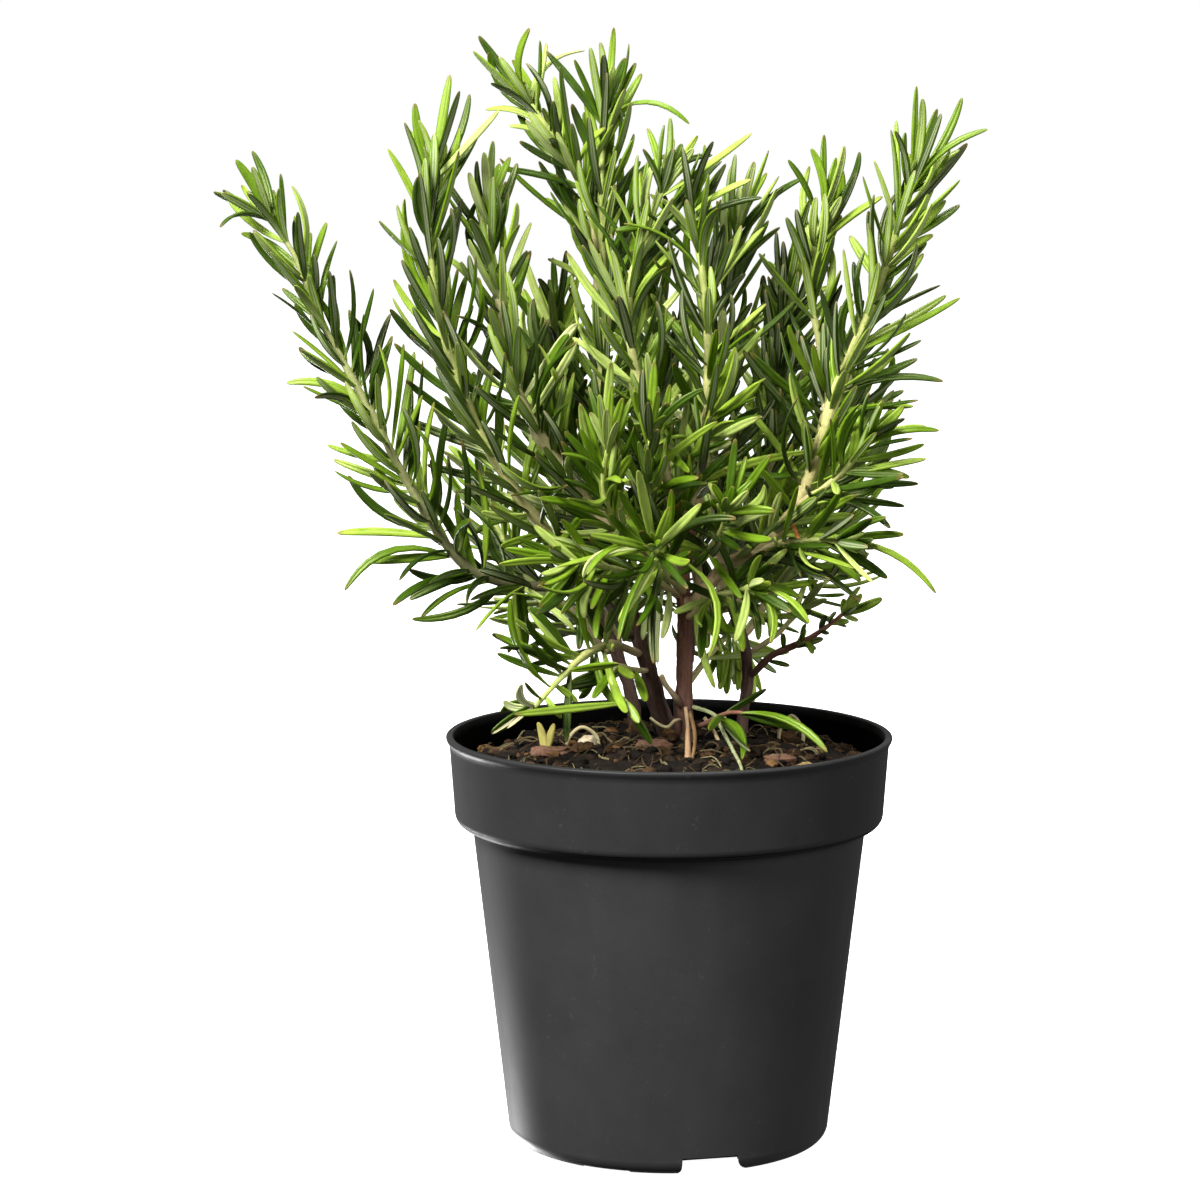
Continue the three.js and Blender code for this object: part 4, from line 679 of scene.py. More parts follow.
# Thin pieces on the compost.
FIBRES = [
    Branch("dry_stalk", None, (0.9, 0.9), """
    5 -9 113.5, 5 -14 110.8, 5 -20 107.8, 5 -24 105"""),
    Branch("root_front", None, (0.5, 0.5), """
    9.5 -2 114.6, 11 -4 112.8, 13 -7 109.8, 14.5 -9 105"""),
    Branch("sprout_stalk", None, (0.6, 0.6), """
    14 -6 116.4, 17.5 -10 111.5, 20 -14 108.7, 19.6 -20 104.5"""),
    Branch("fibre_loop_right", None, (0.5, 0.5), """
    30 12 103.5, 30 12 109, 33 12 113, 36 12 109.5, 36 12 103.5"""),
    Branch("fibre_arch_left", None, (0.5, 0.5), """
    -28 -1 104.5, -26 -1 110.5, -23 -1 111.8, -20 -1 110.5, -18.5 -1 105"""),
    Branch("root_between_trunks", ("trunk_centre", 0.28), (0.5, 0.4), """
    2 -7 115, -1 -7 112.8, -5 -7 115.4"""),
    Branch("dead_twig", ("trunk_centre", 0.34), (0.9, 0.7), """
    2 -7 120.5, -1 -7.5 124.5, -2 -8 127"""),
]

# Chips of bark and crumbs: centre in plan, half sizes, turn in degrees and a seed.
CHIPS = [
    ("bark_chip_left", (-31, -10), (5, 3, 1.5), -8, 5),
    ("bark_chip_centre", (-4, -13), (4.4, 3, 1.6), 14, 7),
    ("bark_chip_right", (29, -20), (4.6, 2.8, 1.4), 35, 9),
    ("bark_chip_back", (16, 44), (5, 3, 1.4), 60, 13),
    ("pale_crumb", (-21.5, -8), (2.4, 2.2, 2.8), 0, 17),
]

# Two curled dry leaves with one foot.
DRY_SIDE = vec(1, -0.2, 0)
DRY_BASE = vec(-33, -3.5, 103.5)
DRY_HALF, DRY_TWIST = 1.2, 0.5
DRY_LEAVES = [  # tip, bow, fading, roll and luck
    (vec(-35, -3.5, 113.6), vec(0.4, 0.3, 0), 1, 0, 0.3),
    (vec(-30.6, -4.5, 113.4), vec(-0.4, 0.3, 0), 0.75, 0.2, 0.6),
]

# Leaves that only the looks have, drawn one by one like tips: share, x, y, z and the tone
# (-1 old and dark, 1 young, 2 and 3 dry), then the side towards the front (1 top, which is
# usual, -1 under, 0 neither) and the bow of a curved one.
MORE_TIPS = {
    "shoot_far_left": """
    0.23 -25 -17 140 0.8 1 -0.2 1.3, 0.23 -34 -14 127 0.5 1 -2.6 -2.5, 0.22 -38 -4 134 -0.3,
    0.23 -43 -2 132 -0.5 0, 0.12 -24 -9 134 -0.4 1 0.8 0.3, 0.11 -18 1 135 -0.3 1 -0.4 -0.1""",
    "shoot_drooping": """
    0.57 -37 -22 147 -0.5 1 -1.5 3.4, 0.61 -37 -32 146 -0.6 1 -2.6 0.3,
    0.67 -46 -29 141 0.1 1 -1.5 0.8, 0.72 -45 -23 135 -0.4 1 -0.9 0.1, 0.31 -15 -16 146 0.4 -1,
    0.39 -14 -18 121 -0.1 1 -1.1 -1.4, 0.33 -11 -23 121 0.4 1 -0.2 -1.9,
    0.43 -24 -10 120 -0.3 1 1.3 -1.4, 0.9 -28 -33 119 0.3, 0.99 -43 -32 124 1.2 -1 -1 -1.3,
    0.99 -38 -36 129 1.5 -1 -2.2 -0.6, 0.99 -41 -26 118 1.3 -1, 0.99 -46 -34 115 2 -1,
    0.96 -42 -31 117 2 -1""",
    "shoot_low_left": """
    0.34 -29 -17 125 -0.9 1 0.3 -0.7, 0.71 -18 -20 138 -0.3""",
    "shoot_front": """
    0.84 -13 -42 146 0.7 1 -0.1 0, 0.99 -22 -46 158 1.1 1 -3 2.8, 0.99 0 -44 176 0.4""",
    "shoot_low_front_left": """
    0.11 -3 -13 131 1.2 -1 -1.2 -1.3, 0.06 -2 -16 138 1 1 0.6 -0.5,
    0.19 -7 -12 137 0.8 -1 -0.4 -0.3, 0.61 -28 -24 146 -0.2 1 -1.5 0.1,
    0.3 -12 -15 137 -0.2 1 -0.8 -2.6, 0.41 -17 -16 140 -0.5 1 -0.5 -2.4""",
    "shoot_low_front_right": """
    0.08 12 -17 125 0.6 1 -1.2 0.8, 0.24 25 -19 142 0.7 1 1.1 1.9, 0.62 26 -26 140 0.1 1 4.3 4.5,
    0.92 36 -30 144 -0.3 1 -0.5 1.7, 0.17 18 -24 141 0 1 -1.1 -1, 0.17 14 -20 135 0.1 1 0.2 0.1,
    0.62 19 -32 137 0.1 1 1 -0.1, 0.92 23 -32 140 -0.4 1 1 0.1, 0.37 15 -22 139 0,
    0.21 10 -13 135 -0.1""",
    "shoot_back_drooping": """
    0.99 20 61 106 0.2 1 1.2 0.3, 0.66 20 44 120 0.5, 0.46 14 36 118 -0.1, 0.59 16 48 113 0.1,
    0.97 23 58 108 0.6 1 0.9 -0.6, 0.89 21 52 111 0.8 1 -0.2 -0.2, 0.66 19 42 115 0.4 1 0.9 -1.2,
    0.58 14 44 115 0.3 1 0.2 -1.2, 0.48 11 41 119 0.2, 0.99 26 67 111 0.3""",
    "shoot_at_base": """
    0.47 19 -22 108 -0.2 1 2.3 2.5""",
    "shoot_front_centre": """
    0.34 5 -21 177 3, 0.4 2 -23 174 3 -1, 0.64 -6 -33 191 0.1 -1, 0.6 -2 -30 191 0.3 -1 0.1 -0.1,
    0.26 13 -25 176 -0.3 1 -0.2 0.9, 0.99 -3 -38 205 0.3, 0.99 -9 -38 205 0.1""",
    "shoot_right": """
    0.27 35 -15 162 3, 0.38 35 -22 196 0.4 -1 -0.2 0.1, 0.4 44 -22 194 0.3,
    0.3 45 -21 181 0.6 -1 0.8 -0.6, 0.21 29 -18 177 0.9 1 -0.3 0.2, 0.29 23 -21 184 0.1,
    0.53 37 -24 216 0.1 1 -1.3 0.4""",
    "shoot_left_centre": """
    0.56 -24 -22 221 1.2 1 1.2 2.9, 0.52 -24 -30 217 1 1 1.5 1.6,
    0.58 -39 -26 221 -0.1 -1 -0.5 -0.2, 0.41 -27 -24 208 0.3 -1 -0.4 1,
    0.31 -35 -24 188 0.5 -1 -1 0.1, 0.27 -39 -21 177 1.1 1 -0.2 -1.9,
    0.12 -35 -18 164 0.4 1 -1.4 0.8, 0.2 -25 -23 160 0.2, 0.26 -28 -26 165 -0.1""",
    "shoot_inner_left": """
    0.59 -22 1 205 -0.3 1 -1 0.2, 0.46 -21 0 195 0 -1 -1.3 2.2, 0.44 -14 6 194 0 1 -0.3 0.9""",
    "shoot_front_left": """
    0.41 -15 -28 190 0.5 -1 -2.1 -0.1, 0.24 -1 -21 176 1 -1 -0.3 0, 0.64 -10 -33 188 0.3,
    0.8 -23 -34 195 0, 0.98 -12 -36 203 0.2, 0.98 -18 -36 204 0.4 -1""",
    "shoot_left": """
    0.28 -49 -21 172 0.7 1 0 -1.3, 0.23 -44 -22 163 0.2""",
    "shoot_centre_left": """
    0.35 3 -26 203 0.8 -1, 0.35 3 -28 196 1.3 1 0.8 3.2, 0.33 -10 -26 195 0.7,
    0.38 -6 -26 213 0.4 -1 -0.1 0.2, 0.51 -18 -24 221 0.5 1 -0.2 -0.6, 0.29 5 -29 184 0.1,
    0.21 -8 -28 188 0""",
    "shoot_centre": """
    0.38 17 -21 215 0.4 1 0.9 0.4, 0.32 23 -21 206 0.5 1 1.5 0.7, 0.25 23 -24 197 0.8 1 0 0.7,
    0.23 16 -18 190 1.1, 0.36 1 -23 211 -0.5 1 -1.1 -0.7, 0.29 2 -22 190 0.6,
    0.46 12 -26 220 -0.1""",
    "shoot_right_second": """
    0.16 21 -13 213 -0.4 1 -0.9 -0.3, 0 10 -16 180 0.5 1 -3 0.7, 0.26 31 -10 220 0.3 1 -1.5 0""",
    "shoot_front_right": """
    0.54 27 -27 173 1 1 -0.2 1.5, 0.94 20 -37 180 0.8, 0.99 10 -36 181 0.8,
    0.17 21 -23 170 -0.2 1 -1 0.6""",
    "shoot_right_low": """
    0.11 41 -23 163 1.2 1 0 1.3""",
    "shoot_back_centre": """
    0.5 0 28 213 0.1 1 -2.4 -0.2""",
}


# ---- Meshes ----
def srgb(r, g, b):
    """A colour as shown on a screen, 0 to 255, as linear numbers."""
    return vec(*[((c / 255 + 0.055) / 1.055) ** 2.4 for c in (r, g, b)])


def rgba(r, g, b):
    return (*srgb(r, g, b), 1.0)


def new_object(name, data):
    made = bpy.data.objects.new(name, data)
    bpy.context.scene.collection.objects.link(made)
    return made


def new_mesh(name, points, faces):
    mesh = bpy.data.meshes.new(name)
    mesh.from_pydata(points, [], faces)
    return new_object(name, mesh)


class Surface:
    """Collects the closed pieces of one mesh. Each point carries three things that its
    material reads: tint, a colour; spot, its place on the piece for the fine pattern; and
    mark, what kind of place it is there."""

    def __init__(self):
        self.points, self.faces, self.slots = [], [], []
        self.layers = {"tint": [], "spot": [], "mark": []}
        self.count = 0

    def add(self, points, faces, tint, spot=None, mark=vec(0, 0, 0), slot=0):
        points = np.asarray(points, dtype=float)
        self.points.append(points)
        self.faces += [tuple(i + self.count for i in face) for face in faces]
        self.slots += [slot] * len(faces)
        values = (tint, points if spot is None else spot, mark)
        for layer, value in zip(self.layers.values(), values):
            layer.append(np.broadcast_to(value, points.shape))
        self.count += len(points)

    def show(self, prefix, node, slot, *materials):
        """Makes the piece prefix_node, which takes the place of that node of the model."""
        points = (np.concatenate(self.points) * MM).tolist()
        piece = new_mesh(prefix + "_" + node, points, self.faces)
        mesh = piece.data
        for material in materials:
            mesh.materials.append(material)
        mesh.polygons.foreach_set("material_index", self.slots)
        mesh.polygons.foreach_set("use_smooth", [True] * len(self.faces))
        for label, layer in self.layers.items():
            made = mesh.attributes.new(label, "FLOAT_VECTOR", "POINT")
            made.data.foreach_set("vector", np.concatenate(layer).ravel())
        mesh.update()
        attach(piece, "root")
        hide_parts(node)
        return mesh


def around(angle, radius, height):
    return math.cos(angle) * radius, math.sin(angle) * radius, height


def even_turn(count):
    return np.arange(count) * (FULL_TURN / count)


def ring_faces(rings, sides):
    """Quads between rings of points, and a fan at each end to one point more."""
    faces = []
    for start in range(0, (rings - 1) * sides, sides):
        for i in range(sides):
            a, b = start + i, start + (i + 1) % sides
            faces.append((a, b, b + sides, a + sides))
    first, last = rings * sides, (rings - 1) * sides
    for i in range(sides):
        j = (i + 1) % sides
        faces += [(j, i, first), (last + i, last + j, first + 1)]
    return faces


# ---- Leaf meshes ----
# The rolled-down side of the leaf in half widths: across, up, and how felted it is there.
SECTION = [
    (0, 0.15, 0), (0.14, 0.19, 0), (0.4, 0.26, 0), (0.7, 0.24, 0), (0.93, 0.06, 0),
    (1, -0.18, 0), (0.9, -0.42, 0), (0.62, -0.5, 0.05), (0.42, -0.4, 0.5), (0.26, -0.28, 1),
    (0.12, -0.36, 0.6),
]
MIDRIB = (0, -0.42, 0.35)
OTHER_SIDE = [(-x, z, felt) for x, z, felt in reversed(SECTION[1:])]
LEAF_SECTION = np.array(SECTION + [MIDRIB] + OTHER_SIDE)
# Rings from the stem to the tip: share of the length and width there.
OUTLINE = np.array([
    (0, 0.36), (0.05, 0.42), (0.12, 0.58), (0.22, 0.77), (0.34, 0.91), (0.48, 1), (0.62, 1),
    (0.74, 0.94), (0.83, 0.84), (0.9, 0.71), (0.95, 0.55), (0.98, 0.38), (0.995, 0.18),
])
LEAF_FACES = ring_faces(len(OUTLINE), len(LEAF_SECTION))
TIP_FELT = 0.3
PATTERN_SHIFT = 60  # how far apart the patterns of two leaves can be


def units(vectors):
    return vectors / np.linalg.norm(vectors, axis=1)[:, None]


def leaf_mesh(surface, leaf, half, tint, roll, twist, luck):
    """A leaf with a groove above, rolled margins, a midrib below and a blunt tip."""
    shares, widths = OUTLINE[:, :1], OUTLINE[:, 1:] * half
    handle = leaf.handle()
    centre = leaf.base * (1 - shares) ** 2 + handle * 2 * shares * (1 - shares)
    centre = centre + leaf.tip * shares**2
    along = units((handle - leaf.base) * (1 - shares) + (leaf.tip - handle) * shares)
    side = units(leaf.side - along * (along @ leaf.side)[:, None])
    angle = roll + twist * shares
    turned = side * np.cos(angle) + np.cross(side, along) * np.sin(angle)
    up = np.cross(turned, along)
    x, z, felt = LEAF_SECTION.T
    points = (
        centre[:, None]
        + turned[:, None] * (widths * x)[..., None]
        + up[:, None] * (widths * z)[..., None]
    )
    shift = luck * PATTERN_SHIFT
    even = np.ones((len(OUTLINE), len(x)))
    spot = np.stack([x * half * even, shares * leaf.length * even, shift * even], axis=-1)
    mark = np.stack([felt * even, shares * even, luck * even], axis=-1)
    surface.add(
        np.vstack([points.reshape(-1, 3), leaf.base, leaf.tip]),
        LEAF_FACES,
        tint,
        np.vstack([spot.reshape(-1, 3), (0, 0, shift), (0, leaf.length, shift)]),
        np.vstack([mark.reshape(-1, 3), (0, 0, luck), (TIP_FELT, 1, luck)]),
    )


# ---- Stem meshes ----
KNOT_SWELL = 0.16
KNOT_REACH = 0.9
BARK_PATTERNS = ((2.1, 0.16), (5, 0.55))  # coarse and fine: radius, and rate along the stem
FINE_BARK = 0.5
FOOT_CAP, TIP_CAP = 0.5, 0.6  # how far the ends bulge, in radii


def stem_mesh(surface, path, radii, colours, sides, slot=0, relief=0.0, knots=()):
    """A round stem along a path. relief is the depth of its bark, as a share of the radius,
    and knots are the shares of the length where leaves leave a swelling."""
    tangents, normals = frames_along(path)
    reach = reach_along(path)
    points, tints, spots = [], [], []
    for point, tangent, normal, distance in zip(path, tangents, normals, reach):
        share = distance / reach[-1]
        radius = float(np.interp(share, np.linspace(0, 1, len(radii)), radii))
        for knot in knots:
            away = (share - knot) * reach[-1] / KNOT_REACH
            radius *= 1 + KNOT_SWELL * math.exp(-(away**2))
        binormal = cross(tangent, normal)
        for angle in even_turn(sides):
            out = normal * math.cos(angle) + binormal * math.sin(angle)
            bark = 0.0
            if relief:
                coarse, fine = (Vector(around(angle, r, distance * n)) for r, n in BARK_PATTERNS)
                bark = noise.noise(coarse + Vector(path[0])) + FINE_BARK * noise.noise(fine)
            points.append(point + out * radius * (1 + relief * bark))
            tints.append(mix(colours[0], colours[1], share))
            spots.append(around(angle, radius, distance))
    foot = path[0] - tangents[0] * radii[0] * FOOT_CAP
    tip = path[-1] + tangents[-1] * radii[-1] * TIP_CAP
    surface.add(
        points + [foot, tip],
        ring_faces(len(path), sides),
        np.array(tints + [colours[0], colours[1]]),
        np.array(spots + [(0, 0, 0), (0, 0, reach[-1])]),
        slot=slot,
    )


# ---- Materials ----
USUAL = (0.3, 0.7)  # where most of a noise pattern's values lie
NARROW = (0.35, 0.65)
PALE_FOOT = rgba(152, 167, 92)
WORN_TIP = rgba(96, 76, 38)
FELT = rgba(168, 176, 136)
POT_DARK = rgba(40, 40, 40)
POT_PALE = rgba(45, 45, 45)
DRY_DUST = rgba(140, 136, 128)


class Shade:
    """A material whose colour, roughness and bump come from a few patterns. even: values
    that are the same all over it."""

    def __init__(self, name, **even):
        self.material = bpy.data.materials.new(name)
        self.material.use_nodes = True
        self.tree = self.material.node_tree
        self.shader = self.tree.nodes["Principled BSDF"]
        for label, value in even.items():
            self.shader.inputs[label.replace("_", " ")].default_value = value

    def node(self, kind, *inputs, **settings):
        made = self.tree.nodes.new("ShaderNode" + kind)
        for label, value in settings.items():
            setattr(made, label, value)
        for socket, value in zip(made.inputs, inputs):
            self.feed(socket, value)
        return made

    def feed(self, socket, value):
        if isinstance(value, bpy.types.NodeSocket):
            self.tree.links.new(value, socket)
        else:
            socket.default_value = value

    def feed_all(self, node, **inputs):
        for label, value in inputs.items():
            self.feed(node.inputs[label.replace("_", " ")], value)

    def read(self, label):
        return self.node("Attribute", attribute_name=label).outputs["Vector"]

    def split(self, vector):
        return self.node("SeparateXYZ", vector).outputs

    def noise(self, vector, scale, detail=4.0, roughness=0.6, stretch=None):
        """A cloudy pattern. stretch: how fast it runs in each of the three directions."""
        if stretch:
            vector = self.node("VectorMath", vector, stretch, operation="MULTIPLY").outputs[0]
        made = self.node("TexNoise")
        self.feed_all(made, Vector=vector, Scale=scale, Detail=detail, Roughness=roughness)
        return made.outputs["Fac"]

    def mapped(self, value, low, high, to_low, to_high):
        """The value's stretch from low to high as to_low to to_high, held past its ends."""
        return self.node("MapRange", value, low, high, to_low, to_high).outputs[0]

    def swung(self, pattern, to_low, to_high, span=USUAL):
        """A noise pattern's weak places as to_low and its strong ones as to_high."""
        return self.mapped(pattern, *span, to_low, to_high)

    def times(self, a, b):
        return self.node("Math", a, b, operation="MULTIPLY").outputs[0]

    def sum(self, a, b):
        return self.node("Math", a, b, operation="ADD").outputs[0]

    def blended(self, factor, a, b, blend_type="MIX"):
        made = self.node("Mix", data_type="RGBA", blend_type=blend_type)
        self.feed_all(made, Factor=factor, A=a, B=b)
        return made.outputs["Result"]

    def toned(self, colour, value):
        """The colour made lighter or darker by a value near 1."""
        return self.blended(1.0, colour, value, "MULTIPLY")

    def mottled(self, colour, pattern, darkest, lightest, span=USUAL):
        return self.toned(colour, self.swung(pattern, darkest, lightest, span))

    def finish(self, colour, roughness, height=None, depth=0.0, strength=0.0):
        """The material, with a relief of that depth in millimetres if it has a height."""
        self.feed_all(self.shader, Base_Color=colour, Roughness=roughness)
        if height is not None:
            bump = self.node("Bump")
            self.feed_all(bump, Strength=strength, Distance=depth * MM, Height=height)
            self.feed(self.shader.inputs["Normal"], bump.outputs[0])
        return self.material


def leaf_material(name, gloss=0.36):
    """Leathery green above with a sheen, felted and pale below."""
    shade = Shade(
        name,
        Specular_IOR_Level=0.34,
        Specular_Tint=(0.95, 1, 0.5, 1),
        Subsurface_Weight=0.08,
        Subsurface_Radius=(0.8, 1.0, 0.25),
        Subsurface_Scale=1.2 * MM,
    )
    spot = shade.read("spot")
    felt, share, luck = shade.split(shade.read("mark"))
    mottle = shade.noise(spot, 1.0, stretch=(0.9, 0.22, 1))
    streak = shade.noise(spot, 1.0, detail=2, stretch=(5, 0.12, 1))
    fine = shade.noise(spot, 2.0, detail=3, stretch=(2.5, 1.2, 1))
    colour = shade.mottled(shade.read("tint"), mottle, 0.78, 1.2)
    colour = shade.mottled(colour, streak, 0.9, 1.1)
    colour = shade.blended(shade.mapped(share, 0.02, 0.18, 0.5, 0), colour, PALE_FOOT)
    at_tip, unlucky = shade.mapped(share, 0.9, 0.99, 0, 0.8), shade.mapped(luck, 0.2, 0.7, 0.2, 1)
    colour = shade.blended(shade.times(at_tip, unlucky), colour, WORN_TIP)
    colour = shade.blended(felt, colour, shade.blended(0.6, colour, FELT))
    sheen = shade.swung(mottle, gloss - 0.06, gloss + 0.12)
    rough = shade.sum(sheen, shade.times(felt, 0.42))
    relief = shade.sum(fine, shade.times(streak, 0.7))
    return shade.finish(colour, rough, relief, depth=0.06, strength=0.5)


def wood_material(name, crack=0.35, relief=0.25, roughness=0.8):
    """Bark with lengthwise cracks, from green twigs to old wood by its tints."""
    shade = Shade(name)
    spot = shade.read("spot")
    streak = shade.noise(spot, 1.0, detail=5, roughness=0.65, stretch=(1.6, 1.6, 0.22))
    fleck = shade.noise(spot, 1.1, detail=3)
    colour = shade.mottled(shade.read("tint"), streak, 1 - crack, 1.2, NARROW)
    colour = shade.mottled(colour, fleck, 0.85, 1.15, NARROW)
    rough = shade.swung(fleck, roughness - 0.12, roughness + 0.12)
    return shade.finish(colour, rough, streak, depth=relief, strength=0.8)


def soil_material(name):
    shade = Shade(name, Specular_IOR_Level=0.12)
    spot = shade.read("spot")
    clods = shade.noise(spot, 0.5, detail=6, roughness=0.7)
    grain = shade.noise(spot, 2.6, roughness=0.7)
    colour = shade.mottled(shade.read("tint"), clods, 0.55, 1.45)
    colour = shade.mottled(colour, grain, 0.6, 1.4)
    rough = shade.swung(grain, 0.75, 1)
    return shade.finish(colour, rough, shade.sum(clods, grain), depth=0.5, strength=0.9)


def pot_material(name, gloss):
    """Charcoal moulded plastic with a fine grain, faint wipe marks and a little dust, with painted
    shade from its tint.
    """
    shade = Shade(name, Specular_IOR_Level=gloss)
    spot = shade.read("spot")
    cloud = shade.noise(spot, 0.03)
    wipe = shade.noise(spot, 1.0, detail=3, stretch=(0.16, 0.16, 0.035))
    grain = shade.noise(spot, 2.4, detail=2)
    dust = shade.noise(spot, 0.5, detail=6, roughness=0.75)
    colour = shade.blended(shade.swung(cloud, 0, 1, NARROW), POT_DARK, POT_PALE)
    colour = shade.mottled(colour, grain, 0.94, 1.06)
    # the tint is painted shade: near black inside, a little darker on the band
    colour = shade.toned(colour, shade.read("tint"))
    dusty, wiped = shade.mapped(dust, 0.6, 0.75, 0, 0.12), shade.mapped(wipe, 0.4, 0.6, 0, 1)
    colour = shade.blended(shade.times(dusty, wiped), colour, DRY_DUST)
    rough = shade.sum(shade.swung(wipe, 0.4, 0.5), shade.swung(cloud, -0.03, 0.04))
    return shade.finish(colour, rough, grain, depth=0.03, strength=0.35)


# ---- The plant's pieces ----
LEAF_TONES = [  # darkest and oldest to youngest, then dry
    (-1.0, srgb(23, 40, 2)), (-0.45, srgb(46, 72, 4)), (0.0, srgb(86, 115, 16)),
    (0.5, srgb(126, 150, 48)), (1.0, srgb(164, 177, 104)), (1.5, srgb(194, 198, 150)),
    (2.0, srgb(196, 188, 148)), (3.0, srgb(176, 100, 56)),
]
BARK = srgb(86, 62, 50)
DARK_BARK = srgb(54, 38, 34)
RED_BARK = srgb(128, 82, 62)
TAN = srgb(160, 142, 104)
OLIVE = srgb(156, 148, 80)
PALE_TAN = srgb(178, 172, 124)
GREEN_WOOD = srgb(148, 154, 92)
YOUNG_WOOD = srgb(156, 172, 84)
WOOD = {  # foot and tip colours where they differ from a usual shoot's
    "shoot_far_left": (DARK_BARK, GREEN_WOOD),
    "shoot_left_centre": (TAN, PALE_TAN),
    "shoot_right": (srgb(172, 146, 110), srgb(170, 184, 92)),
    "shoot_at_base": (BARK, RED_BARK),
    "spur_right": (BARK, RED_BARK),
}
# The right-hand shoots are darker as painted shade on the side away from the key light, and
# shoot_back_drooping is lighter as painted light where the canopy shades it.
SHOOT_TONES_AND_PAINTED_LIGHT = {  # of their leaves, where they are darker or lighter than usual
    "shoot_at_base": -0.4, "shoot_far_left": -0.3, "shoot_back_drooping": 0.2,
    "shoot_drooping": -0.2, "shoot_centre": -0.15, "shoot_right": -0.2,
    "shoot_right_second": -0.2, "shoot_right_inner": -0.2, "shoot_right_side": -0.15,
    "shoot_front": -0.2, "shoot_front_centre": -0.2, "shoot_front_right": -0.2,
}
USUAL_TONE, TONE_JITTER = -0.1, 0.95
YOUNG_FROM, YOUNG_TONE = 0.7, 0.4  # share of the shoot's length, and the rise from there
WITHERED = 2  # tones from here on are of dry leaves, which are narrower
DRY_WIDTHS = (0.35, 0.6)  # at that tone and above it
LEAF_HALF = (0.95, 1.32)
SHORT_LEAF = 12  # shorter ones are narrower too
SHORT_WIDTH, SHORT_GAIN = 0.55, 0.45
LOOKS_SEED = 900
ROLL_JITTER, TWIST_JITTER = 0.3, 0.45
DRAWN_STEADY = 0.4  # how much of that a leaf drawn one by one gets
TOWARDS_FRONT = vec(1, 0.4, 1)  # leaves show more of their faces to the front
FACE_TURN = 0.8  # and those edge-on from there turn this much, in radians
LEAF_BOW = 0.08  # most that a leaf's middle moves off its upper or lower face, as a share
SHOOT_TAPER = (1, 0.85, 0.9)  # of the foot's radius twice, and of the tip's

DRY_STALK_TOP = (4.4, -5.6, 118)  # it frays out of the trunk's foot
DRY_STALK_RADII = (0.5, 1.05)
FIBRE_LOOKS = {  # kind and colours where they aren't plain straw
    "dry_stalk": ("dry_fibre", (srgb(160, 132, 98), srgb(140, 110, 78))),
    "root_front": ("dry_fibre", (srgb(196, 176, 132), srgb(170, 146, 104))),
    "sprout_stalk": ("green_stalk", (srgb(128, 146, 70), srgb(104, 124, 56))),
    "dead_twig": ("bark", (BARK, TAN)),
}


def leaf_colour(tone):
    tones, colours = zip(*LEAF_TONES)
    return vec(*[np.interp(tone, tones, channel) for channel in zip(*colours)])


def bow_leaf(leaf, bow):
    leaf.mid = leaf.mid + unit(cross(leaf.side, leaf.tip - leaf.base)) * leaf.length * bow


def make_shoot(shoot, foliage, wood):
    surface = Surface()
    parent, share = shoot.parent
    path = smooth_path([stems[parent].at(share)[0], *shoot.stem.samples], steps=5)
    first, last = shoot.radius
    radii = [r * taper for r, taper in zip((first, first, last), SHOOT_TAPER)]
    knots = sorted({round(leaf.share, 2) for leaf in shoot.grown})
    colours = WOOD.get(shoot.name, (TAN, YOUNG_WOOD))
    stem_mesh(surface, path, radii, colours, sides=10, slot=1, relief=0.1, knots=knots)
    dice = Dice(shoot.seed + LOOKS_SEED)
    for leaf in shoot.grown:
        # part of this tone is painted shade or painted light, as noted at the shoots' tones
        tone = SHOOT_TONES_AND_PAINTED_LIGHT.get(shoot.name, 0) + dice.jitter(TONE_JITTER)
        tone = tone + YOUNG_TONE * max(0, leaf.share - YOUNG_FROM) + USUAL_TONE
        drawn = leaf.tone is not None
        if drawn:
            tone = leaf.tone
        width = min(1, SHORT_WIDTH + SHORT_GAIN * leaf.length / SHORT_LEAF)
        half = dice.between(*LEAF_HALF) * width
        if tone >= WITHERED:
            half *= DRY_WIDTHS[tone > WITHERED]
        loose = DRAWN_STEADY if drawn else 1
        roll, twist = dice.jitter(ROLL_JITTER) * loose, dice.jitter(TWIST_JITTER) * loose
        roll += math.copysign(FACE_TURN, leaf.side[1]) * leaf.side[1] ** 2
        bow_leaf(leaf, dice.jitter(LEAF_BOW))
        leaf.side = leaf.side * TOWARDS_FRONT
        leaf_mesh(surface, leaf, half, leaf_colour(tone), roll, twist, dice.roll())
    surface.show("leafy", shoot.name, "foliage", foliage, wood)


def make_dry_leaves():
    surface = Surface()
    for tip, bow, fade, roll, luck in DRY_LEAVES:
        leaf = Leaf(DRY_BASE, mix(DRY_BASE, tip, 0.5) + bow, tip, DRY_SIDE)
        leaf_mesh(surface, leaf, DRY_HALF, OLIVE * fade, roll, DRY_TWIST, luck)
    surface.show("curled", "dry_leaves", "dry_leaf", leaf_material("dry_leaf", gloss=0.6))


